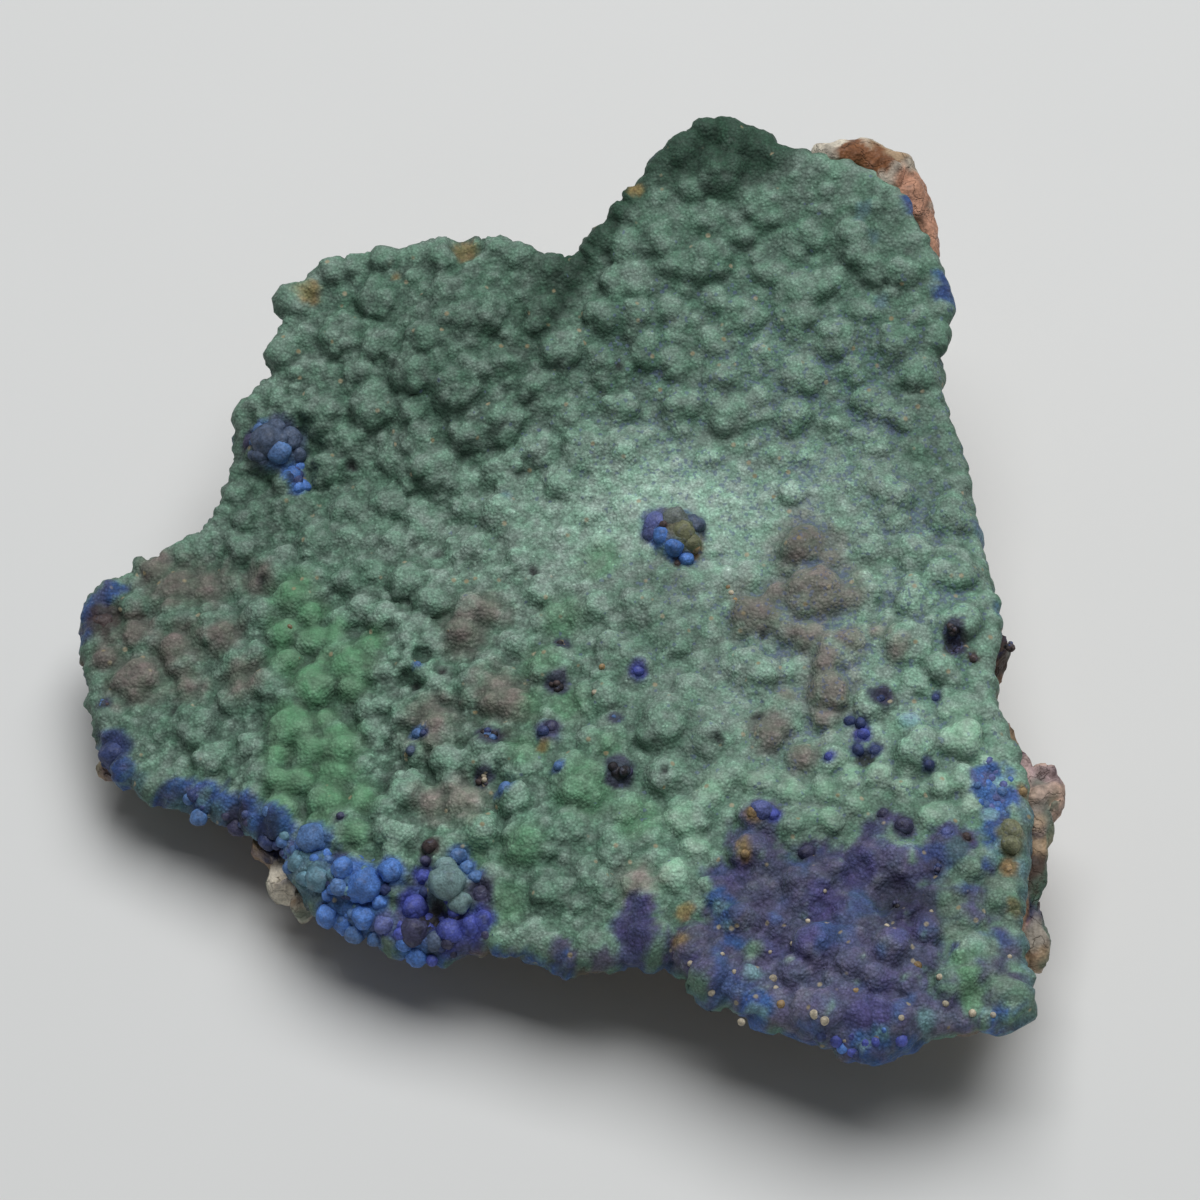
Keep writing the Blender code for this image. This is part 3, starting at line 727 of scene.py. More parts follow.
base = places
base_outward = crust_outward(4)
calm = near_field(base, CALM_CENTRE, CALM_SIZE)
fine = near_field(base, FINE_CENTRE, FINE_SIZE)
low = near_field(base, LOW_CENTRE, LOW_SIZE)
top_face = np.flatnonzero(ring <= 2)
visible = np.flatnonzero(ring <= len(RIM_OUT) + 6)
rim_room = edge_nearest(base[:, :2])[1] / MM

# First generation: the listed lumps, broad domes, and a row of lumps along the rim.
draw = random.Random(SEED + 9)
placed = [(x, y, CUSHION_SPREAD * radius, draw.uniform(*CUSHION_STAND)) for x, y, radius in CUSHIONS]
placed += [(*lump, BIG_STAND) for lump in BIG_LUMPS]
placed += [(*lump, STREAK_STAND) for lump in STREAK]
placed += [(*lump, DOME_STAND) for lump in MINT]
placed += [(*lump, BIG_STAND if lump[0] < LEFT_MAUVE_TO else DOME_STAND) for lump in MAUVE]
placed += [(*lump, draw.uniform(*KNOB_STAND)) for lump in KNOBS]
placed += [(*lump, draw.uniform(*LEFT_STAND)) for lump in LEFT_LUMPS]
middles, radii = [], []
for x, y, radius, share in placed:
    middles.append((x * MM, y * MM, top_at(x * MM, y * MM) - (1 - share) * radius * MM))
    radii.append(radius * MM)
shares = 1 - np.maximum(0.6 * calm, 0.4 * fine)
for index, radius, stand in scattered(base, top_face[rim_room[top_face] > 1.6], BROAD, shares, SEED):
    flat_place = base[index, :2]
    if any(math.dist(flat_place, there[:2]) < CLEAR_SHARE * size for there, size in zip(middles, radii)):
        continue
    if radius > rim_room[index] * MM:
        continue
    stand *= 1 - LOW_LYING * low[index]
    middles.append(base[index] - base_outward[index] * (1 - stand) * radius)
    radii.append(radius)
draw = random.Random(SEED + 1)
looped = np.vstack([curve, curve[:1]])
rim_walk = np.concatenate([[0.0], np.cumsum(np.hypot(*np.diff(looped, axis=0).T))])
rim_lumps = int(rim_walk[-1] / (RIM_PITCH * MM))
for number in range(rim_lumps):
    walked = (number + draw.uniform(-RIM_WANDER, RIM_WANDER)) / rim_lumps * rim_walk[-1]
    x, y = (float(np.interp(walked, rim_walk, looped[:, axis])) for axis in (0, 1))
    radius = draw.uniform(*RIM_RADII) * MM
    inside = 1 - (radius * 0.95 + 0.35 * MM) / math.hypot(x, y)
    x, y = x * inside, y * inside
    middles.append((x, y, top_at(x, y) - draw.uniform(*RIM_SINK) * MM))
    radii.append(radius)
stand, owner = swollen(places, base_outward, np.array(middles), np.array(radii), BROAD)
places = places + base_outward * stand[:, None]
lump_tones = np.random.default_rng(SEED + 3).uniform(-1, 1, len(middles) + 1)
tone = 0.5 * lump_tones[owner]

# Second and third generation, and the smooth fields that carry few of them.
smooth = np.maximum.reduce([
    patch(places, STREAK, 1.0), 0.4 * patch(places, SOFT_GREEN, 1.0), 0.7 * patch(places, MINT, 1.2),
    0.6 * patch(places, MAUVE, 0.8),
])
knobbly = np.maximum(0.35 + 0.65 * step_up(-base[:, 0] / MM, -8.0, 2.0), fine)
middling_shares = 1 - np.maximum(np.maximum(0.45 * calm, 0.2 * low), 0.6 * smooth)
small_shares = knobbly * (1 - 0.85 * smooth)
for sort, shares in ((MIDDLING, middling_shares), (SMALL, small_shares)):
    set_places(crust_mesh, places)
    outward = crust_outward(3)
    picked = scattered(places, visible, sort, shares, SEED + sort["tries"])
    middles = [places[index] - outward[index] * (1 - stand) * radius for index, radius, stand in picked]
    radii = [radius for index, radius, stand in picked]
    stand, owner = swollen(places, outward, np.array(middles), np.array(radii), sort)
    places = places + outward * stand[:, None]
    lump_tones = np.random.default_rng(sort["tries"]).uniform(-1, 1, len(middles) + 1)
    tone += 0.3 * lump_tones[owner]

# Holes, and the velvet of crystals.
set_places(crust_mesh, places)
outward = crust_outward(3)
sunk = np.zeros(len(places))
for x, y, radius in PITS + DARK_SPOTS:
    apart = apart_from(places, x, y) / radius
    sunk = np.maximum(sunk, (1 - step_up(apart, 0.35, 0.95)) * PIT_DEPTH * min(radius, WIDE_SPOT))
places = places - outward * (sunk * MM * (ring <= 3))[:, None]
draw = np.random.default_rng(SEED)
velvet = 0.8 * grain(places, 0.55 * MM, 29.0) + 0.7 * draw.uniform(-0.5, 0.5, len(places))
places = places + outward * (velvet * GRAIN_DEPTH * (1 - 0.75 * smooth))[:, None]
set_places(crust_mesh, places)
outward = smoothed(point_rows(crust_mesh, "normal"), 2)
bulge = ((places - smoothed(places, 30)) * outward).sum(1) / MM
fine_bulge = ((places - smoothed(places, 5)) * outward).sum(1) / MM

# Colours of the crust, and where they lie: x, y and radius of each spot in millimetres.
DARK_GREEN = (0.079, 0.170, 0.122)
# A deep green that is painted shade, on steep sides and behind the peak.
SHADE_DEEP_GREEN = (0.019, 0.055, 0.034)
MID_GREEN = (0.145, 0.245, 0.190)
PALE_GREEN = (0.270, 0.400, 0.335)
STREAK_GREEN = (0.118, 0.264, 0.150)
MINT_GREEN = (0.250, 0.400, 0.300)
ISLE_GREEN = (0.150, 0.240, 0.180)
BROWN_MAUVE = (0.182, 0.150, 0.138)
NAVY = (0.080, 0.085, 0.160)
VIOLET = (0.064, 0.062, 0.175)
AZURE = (0.042, 0.095, 0.260)
RIM_AZURE = (0.0336, 0.076, 0.208)
TURQUOISE = (0.150, 0.270, 0.300)
HAZE = (0.150, 0.185, 0.290)
ASH = (0.125, 0.125, 0.165)
OCHRE = (0.300, 0.210, 0.080)
# Near-black of the small dark hollows: partly their own dark colour, partly painted shade.
HOLLOW_DARK_AND_SHADE = (0.026, 0.022, 0.030)
BROWN = (0.120, 0.080, 0.055)
NAVY_SPOTS = (
    (10, -24.7, 2.1), (10.4, -27, 2.7), (13.5, -25.8, 3.4), (18, -25, 3.2), (20.6, -22.2, 1.2),
    (21.8, -24.7, 2.6), (24.9, -23.6, 1.4), (7.5, -29.8, 2.4), (12, -30.5, 3.9), (19.5, -27.7, 1.8),
    (20.4, -33.9, 1.7), (18.1, -34.4, 1.7), (11.4, -21.8, 1.8), (26.7, -22.2, 1.9), (17.5, -31, 4.3),
    (22.2, -30.5, 3.6), (15, -34.5, 3.4), (19.5, -37.2, 3.2), (23, -35.8, 3), (26.4, -36.4, 1.9),
    (9.8, -33.4, 1.9), (3, -28.8, 1.5), (3.5, -26.5, 0.9), (12.2, -19.6, 1.3), (11.2, -22.4, 1.5),
    (21.7, -19.7, 0.7), (-3, -29.5, 1.1), (0, -30.2, 1), (27.8, -27.4, 2.4), (29.6, -30.6, 2.3),
    (28.6, -33.4, 2.2), (30.8, -33.6, 1.4), (26.2, -24.4, 1.3), (24.2, -27.4, 1.8), (24.8, -30, 1.6),
)
AZURE_SPOTS = (
    (9.6, -27.2, 1.2), (8.6, -26.1, 0.8), (11.7, -34.8, 1.3), (20, -38.4, 1.6), (23, -38.4, 1),
    (10.2, -29.4, 0.9), (-33.8, -14.2, 1.5), (-32.2, -14.6, 2), (-30.6, -15.4, 2.2), (-29.2, -16.2, 2.1),
    (-27.8, -17, 2), (-26.3, -17.7, 1.8), (-24.9, -18.4, 1.7), (-23.6, -19.8, 1.5), (-22, -19.6, 1.2),
    (-20.4, -22, 1.7), (-18.4, -23.4, 1.7), (-16.2, -22.8, 1.1), (-20.6, -25.2, 1.4), (-18.4, -26, 1.3),
    (-14.6, -28.6, 1.1), (-12.7, -28.6, 0.8), (-40.5, 3, 1.5), (-39.3, 4.6, 1.2), (-41.3, 1.2, 1),
    (-38.6, -9.2, 1.6), (-37.8, -11.4, 1.2), (28.8, -16.5, 0.7), (30.1, -16.1, 0.9), (31.5, -15.7, 0.6),
    (29.3, -17.9, 0.8), (30.4, -18.1, 1), (31.7, -17.8, 0.7), (30, -19.5, 1.1), (29.9, -21, 1),
    (30, -22.2, 0.8), (29.6, -24, 0.5), (28, 23.8, 1.1), (27.6, 24.9, 0.7), (24.9, 30.5, 0.8),
    (30.2, 5.4, 0.7), (31.6, -2, 0.6), (-8.2, -28.9, 0.6), (-7, -29.4, 0.7), (-5.8, -30, 0.8),
    (-4.5, -30.4, 0.8), (-3.3, -30.2, 0.7), (-10.4, -22.2, 0.9), (4.8, 5.6, 1.1), (6.4, 3.7, 0.7),
    (6.3, 6, 1.3), (7.3, 5.4, 0.9), (30.3, -36, 0.6), (31.2, -36.2, 0.6), (32, -35.9, 0.5),
    (29.2, -36.2, 0.5), (-24.6, 12.2, 0.7), (24.6, -29.6, 0.6), (26.6, -30.6, 0.4),
)
VIOLET_SPOTS = (
    (-14.2, -25.4, 1.6), (-10.6, -27.6, 1.9), (-12.6, -27.6, 1.4), (-13.6, -22.8, 0.8), (-9.4, -25.4, 1.2),
    (21, -20.8, 1), (19.6, -23.8, 1.4), (15.8, -22.7, 0.7), (17, -27, 1.6), (23.2, -20.8, 0.8),
    (20, -36.4, 1.6), (-4, -11.4, 0.9), (20.2, -12.6, 0.7), (3, -6.8, 0.7), (2.4, -28.2, 1.6),
    (2.9, -26.3, 0.9), (2.4, -30, 1.2),
)
TURQUOISE_SPOTS = (
    (-11.6, -24, 1.3), (-21.7, -22.3, 1), (-23.2, -20.9, 0.8), (31.9, -23.8, 0.5), (33, -18.5, 0.4),
    (32.1, -31.9, 0.3), (20.8, 29.4, 0.4), (21.3, 30.2, 0.5), (21.9, 28.1, 0.4), (22.5, 23.4, 0.5),
    (29.9, -23.5, 0.5), (-7.6, 9.5, 0.35), (11.4, -32.4, 0.6), (24.2, -36.4, 0.6), (23.9, -11.8, 0.8),
    (29.8, -22.8, 0.5),
)
OCHRE_SPOTS = (
    (31.4, -21, 0.8), (31.3, -22.1, 0.7), (31, -23.8, 0.5), (31.5, -27.2, 0.5), (6.2, -29.3, 0.6),
    (6.3, -27, 0.7), (-11, 29.2, 1.2), (-23.8, 27, 0.9), (3, 32.5, 0.5), (-16.5, 27.5, 0.4),
    (10.9, -22.6, 0.6), (12, -19.9, 0.5), (-4.4, -12.6, 0.5), (12.2, -19.7, 0.4), (32.5, -17.2, 0.4),
)
GREEN_ISLES = (
    (26.7, -25.3, 0.9), (27.6, -24.6, 0.9), (26.5, -27.2, 1.1), (30.4, -25.4, 1.3), (29.5, -27, 0.9),
    (31, -28, 0.6), (27.2, -29.7, 1.6), (28.6, -30.6, 1.4), (27.4, -32.5, 0.9), (27.7, -34.2, 0.9),
    (29.9, -33.9, 1.2), (31, -34.4, 1), (30.9, -31.7, 0.5), (11.4, -30.4, 0.6), (28.9, -29, 0.6),
)
BRIGHT_ISLES = ((27.2, -31.9, 0.8), (27.5, -33, 0.9), (27.8, -34.2, 0.8), (28, -35.2, 0.6))
# Azurite shows through as teal: along the right edge, on the left front rim and on one knob.
TEAL = (0.075, 0.140, 0.165)
TEAL_EDGE = (
    (32.9, -19.2, 0.8), (33.1, -20.8, 0.8), (32.9, -22.3, 0.8), (32.6, -23.9, 0.8), (32.4, -25.7, 0.8),
    (27.1, -22.8, 0.9), (32.2, -27.6, 0.8), (32.1, -29.5, 0.8), (-33, -14.6, 1), (-30.6, -15.6, 1.1),
    (-28.2, -16.9, 1), (-26, -17.9, 0.9), (-36.4, -12.6, 0.9), (32.3, -31.4, 0.7), (32.6, -33.4, 0.6),
)
# Where the paint is paler or, below 0, darker: x, y, half width, half depth and by how much. Partly the
# crust's own tone, partly painted light and shade, such as the shaded side of the mound below the opened
# nodule, the right edge that turns away from the light and the shadowed hollow in the blue corner.
TONE_AND_PAINTED_SHADE_PATCHES = (
    (12, 24, 11, 7, 0.1), (19.5, 16, 9, 5, 0.14), (-12, 21, 11, 7, -0.16), (-34, 2, 7, 6, -0.08),
    (5, 8.5, 12, 5, 0.54), (-9.6, -18.3, 5, 4, 0.36), (0, -8, 5, 5, 0.12), (-2, -16, 6, 4, 0.14),
    (25, -13, 7, 4, 0.52), (8, -19, 6, 3, 0.35), (29, -30, 4, 5, 0.2), (15.7, -34, 9, 3.5, 0.6),
    (30, -17.6, 2.4, 3, 0.7), (17, -27, 6, 3, 0.3), (29, 12, 5, 6, -0.2), (24, -3.5, 7.5, 5.5, 0.42),
    (-28.5, 10, 4.5, 5, -0.22), (-7, 6.5, 5, 3.5, -0.08), (4.6, 1.4, 3.2, 2.2, -0.42),
    (9.4, 2.2, 1.8, 1.4, 0.25), (4.5, -24, 4, 2.5, 0.6), (22.8, -27.2, 2.5, 1.6, -0.68),
    (22.3, -22.6, 2.2, 1.4, 0.55), (26.5, -20.4, 3, 1.2, 0.35), (28.5, -36.2, 4, 1, 0.45),
    (22, -30.4, 2.2, 1.5, 0.25), (28, -30.2, 1.7, 1.3, 0.35), (-6.5, -27.7, 3.4, 0.9, 0.4),
    (16.5, 4.2, 2.4, 1.8, -0.24), (-21, -8, 4, 9, -0.06),
)
MAUVE_SPREAD = 1.15
# Ovals where the crust is paler, and where a blue haze lies in its hollows.
PALE_MIDDLE = (7, 5, 17, 7.5)
PALE_FRONT = (14, -9, 9, 8)
HAZY_RIGHT = (20, 1, 12, 16)
HAZY_BACK = (12, 15, 12, 6)
WIDE_MAUVE = tuple((x, y, MAUVE_SPREAD * radius) for x, y, radius in MAUVE)
x, y = places[:, 0] / MM, places[:, 1] / MM
tone += 0.8 * grain(places, 5.0 * MM, 41.0) + 0.5 * grain(places, 1.4 * MM, 43.0)
crest = step_up(bulge, -0.30, 0.30)
hollow = 1 - step_up(bulge, -0.35, 0.05)
field = np.maximum(oval(x, y, *PALE_MIDDLE), 0.75 * oval(x, y, *PALE_FRONT))
# Paler on the crests of lumps and darker in their hollows, in part: painted highlight and shade.
paleness_and_crest_light = 0.42 + 0.15 * tone + 0.30 * (crest - 0.5) + 0.75 * field
paint = washed(DARK_GREEN, MID_GREEN, np.clip(paleness_and_crest_light * 2, 0, 1))
paint = washed(paint, PALE_GREEN, np.clip(paleness_and_crest_light * 1.6 - 0.6, 0, 1))
# Painted shade: steep sides of the lumps, turned away from the overhead light, are washed in deep green,
# less so in the pale middle field.
steep_side_shade = 1 - step_up(outward[:, 2], 0.45, 0.85)
paint = washed(paint, SHADE_DEEP_GREEN, 0.5 * steep_side_shade * (1 - 0.6 * np.clip(field, 0, 1)))
# Painted shade: the peak at the back falls away in dark green behind its crest.
rise = 33.2 + 1.4 * np.minimum(x - 4, 0) + 0.6 * np.maximum(x - 13, 0)
peak_shade = step_up(y - rise, -2.2, 1.2) * step_up(x, -9, -2)
paint = washed(paint, SHADE_DEEP_GREEN, np.clip(0.9 * peak_shade, 0, 0.9))


def spotted(paint, washes):
    """Paint under groups of ragged spots, each with a colour, strength, softness and raggedness."""
    for colour, strength, spots, soft, ragged in washes:
        paint = washed(paint, colour, strength * patch(places, spots, soft, ragged))
    return paint


# Mint and mauve lie thicker on the crests of the lumps: painted light.
lit = 0.6 + 0.4 * crest
paint = spotted(paint, (
    (STREAK_GREEN, 0.9, STREAK, 0.8, 0.4), (STREAK_GREEN, 0.65, SOFT_GREEN, 0.9, 0.35),
    (MINT_GREEN, 0.75 * lit, MINT, 1.0, 0.5), (BROWN_MAUVE, 0.85 * lit, WIDE_MAUVE, 0.9, 0.6),
))
hazy = oval(x, y, *HAZY_RIGHT) + oval(x, y, *HAZY_BACK)
hazy = np.clip(hazy * 1.1, 0, 1) * (0.5 + 0.9 * grain(places, 3.0 * MM, 47.0))
paint = washed(paint, HAZE, np.clip(0.45 * hollow * hazy, 0, 0.5))
navy = patch(places, NAVY_SPOTS, 0.4, 0.7)
navy_tint = washed(NAVY, VIOLET, 0.8 * step_up(grain(places, 3.2 * MM, 53.0), 0.1, 0.5))
# Grey on the crests of some blue lumps: partly their own grey tops, partly painted highlight.
navy_tint = washed(navy_tint, ASH, 0.75 * crest * step_up(tone, -0.6, 0.6))
navy_tint = washed(navy_tint, AZURE, 0.6 * step_up(grain(places, 2.6 * MM, 59.0), 0.25, 0.5))
paint = washed(paint, navy_tint, navy)
paint = spotted(paint, (
    (ISLE_GREEN, 0.9, GREEN_ISLES, 0.5, 0.5), (STREAK_GREEN, 0.8, BRIGHT_ISLES, 0.5, 0.5),
    (VIOLET, 0.9, VIOLET_SPOTS, 0.4, 0.4),
))
side_tint = washed(DARK_GREEN, BROWN, step_up(grain(places, 2.4 * MM, 61.0), -0.1, 0.3))
side_tint = washed(side_tint, RIM_AZURE, step_up(grain(places, 3.6 * MM, 67.0), 0.0, 0.3))
paint = washed(paint, side_tint, 0.9 * step_up(ring, 3.0, 6.0))
azure_tint = washed(AZURE, NAVY, 0.7 * step_up(grain(places, 1.2 * MM, 83.0), 0.0, 0.4))
azure_tint = washed(azure_tint, TURQUOISE, 0.75 * step_up(grain(places, 1.5 * MM, 89.0), 0.2, 0.5))
paint = washed(paint, azure_tint, patch(places, AZURE_SPOTS, 0.3, 0.55))
# The last of these, near-black in the small dark hollows, is partly painted shade.
paint = spotted(paint, (
    (TEAL, 0.85, TEAL_EDGE, 0.4, 0.5), (TURQUOISE, 0.9, TURQUOISE_SPOTS, 0.3, 0.3),
    (OCHRE, 0.75, OCHRE_SPOTS, 0.3, 0.5), (HOLLOW_DARK_AND_SHADE, 0.85, DARK_SPOTS, 0.3, 0.35),
))
# Painted shade and highlight: darker in small hollows, lighter on small crests.
paint *= (0.78 + 0.4 * step_up(fine_bulge, -0.09, 0.09))[:, None]
# On the left, lighter on the crests of the lumps and darker between them: painted highlight and shade.
left_painted_light_field = near_field(places, LEFT_CENTRE, LEFT_SIZE)
paint *= (1 + left_painted_light_field * (0.46 * step_up(bulge, -0.22, 0.14) - 0.26))[:, None]
# Patches of paler and darker paint, partly painted light and shade.
for *area, gain in TONE_AND_PAINTED_SHADE_PATCHES:
    paint *= (1 + gain * oval(x, y, *area))[:, None]
set_paint(crust_mesh, "mineral_paint", paint)
set_share(crust_mesh, "blue_dust_share", np.clip(hazy, 0, 1) * (0.25 + 0.75 * hollow) * (1 - navy))
set_share(crust_mesh, "smooth_share", smooth)
set_share(crust_mesh, "navy_share", navy)

# Tints that the finish lays over the paint: two that its hue wanders between, a painted glint of bright
# crystals, blue dust, and specks of ochre and cream.
YELLOWER = (1.14, 1.02, 1.07)
GREENER = (0.94, 1.07, 0.98)
PAINTED_GLINT = (1.8, 1.75, 1.75)
BLUE_DUST = (0.110, 0.145, 0.270)
DARK_SPECK = (0.29, 0.23, 0.12)
PALE_SPECK = (0.44, 0.39, 0.27)
SHEEN_TINT = (0.75, 0.95, 0.85, 1.0)
crust_finish, tree, shader, place = new_finish("velvet_malachite_finish")
colour = attribute_node(tree, "mineral_paint", "Color")
smooth_share = attribute_node(tree, "smooth_share", "Fac")
navy_share = attribute_node(tree, "navy_share", "Fac")
colour = shaded(tree, colour, blotches(tree, place, 0.9 * MM, 3.0, 0.74, 1.10))
hue_share = ranged(tree, noise_node(tree, place, 1.3 * MM, 3.0), 0.35, 0.65, 0.0, 1.0)
colour = shaded(tree, colour, mixed(tree, hue_share, GREENER, YELLOWER))
sparkle_share = ranged(tree, smooth_share, 0.0, 1.0, 1.0, 0.45)
colour = shaded(tree, colour, blotches(tree, place, 0.17 * MM, 2.0, 0.75, 1.28), sparkle_share)
# Painted shade between the tiny crystals of the velvet: each cell lighter in its middle, darker at its
# edge.
velvet = cells_node(tree, place, 0.30 * MM).outputs["Distance"]
colour = shaded(tree, colour, ranged(tree, velvet, 0.05, 0.75, 1.12, 0.80), sparkle_share)
# Painted glints: a few crystal cells lightened, fewer on the blue corner.
crystals = cells_node(tree, place, 0.26 * MM)
chance = parted(tree, crystals.outputs["Color"])
painted_glint = math_node(tree, "GREATER_THAN", chance["Red"], 0.86)
painted_glint_shape = ranged(tree, crystals.outputs["Distance"], 0.15, 0.45, 0.55, 0.0)
painted_glint = math_node(tree, "MULTIPLY", painted_glint, painted_glint_shape)
painted_glint = math_node(tree, "MULTIPLY", painted_glint, ranged(tree, navy_share, 0.0, 1.0, 1.0, 0.15))
colour = mixed(tree, painted_glint, colour, shaded(tree, colour, PAINTED_GLINT))
dust_share = math_node(tree, "MULTIPLY", attribute_node(tree, "blue_dust_share", "Fac"), 0.75)
dust = math_node(tree, "LESS_THAN", chance["Blue"], dust_share)
colour = mixed(tree, math_node(tree, "MULTIPLY", dust, 0.5), colour, BLUE_DUST)
specks = cells_node(tree, place, 1.15 * MM)
chance = parted(tree, specks.outputs["Color"])
drift = ranged(tree, noise_node(tree, place, 7.0 * MM, 2.0), 0.42, 0.62, 0.04, 0.42)
drift = math_node(tree, "ADD", drift, math_node(tree, "MULTIPLY", navy_share, 0.10))
speck = math_node(tree, "LESS_THAN", chance["Green"], drift)
speck = math_node(tree, "MULTIPLY", speck, ranged(tree, specks.outputs["Distance"], 0.11, 0.22, 0.80, 0.0))
colour = mixed(tree, speck, colour, mixed(tree, chance["Blue"], DARK_SPECK, PALE_SPECK))
gloss = blotches(tree, place, 0.6 * MM, 2.0, 0.62, 0.95)
shader.inputs["Sheen Weight"].default_value = 0.12
shader.inputs["Sheen Roughness"].default_value = 0.45
shader.inputs["Sheen Tint"].default_value = SHEEN_TINT
relief = bump_node(tree, noise_node(tree, place, 0.45 * MM, 3.0), 0.065 * MM)
relief = bump_node(tree, ranged(tree, velvet, 0.0, 0.8, 1.0, 0.0), 0.075 * MM, relief)
complete(tree, shader, colour, gloss, relief, 0.35)

crust = put_in("malachite_crust_with_azurite", crust_mesh, crust_finish)
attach(crust, "root")
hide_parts("malachite_crust")


# Azurite beads. Small smooth balls of blue, turquoise and violet azurite that grew on the crust: a
# band of them along its left front edge, a nodule on its left shoulder, an opened one in the middle
# and dark grapes of tiny crystals here and there. Pale grains of sand are stuck to the front corner.

BEAD_TINTS = {
    "azure": (0.082, 0.2, 0.54), "blue": (0.09, 0.185, 0.4), "navy": (0.04, 0.06, 0.165),
    "turquoise": (0.118, 0.238, 0.305), "sea": (0.17, 0.27, 0.275), "slate": (0.07, 0.1, 0.165),
    "lilac": (0.105, 0.13, 0.33), "violet": (0.066, 0.088, 0.365), "dusk": (0.05, 0.05, 0.105),
    "umber": (0.065, 0.046, 0.046), "black": (0.02, 0.017, 0.022), "olive": (0.18, 0.19, 0.11),
    "ash": (0.15, 0.175, 0.165), "ochre": (0.3, 0.205, 0.1), "cream": (0.5, 0.44, 0.33),
}
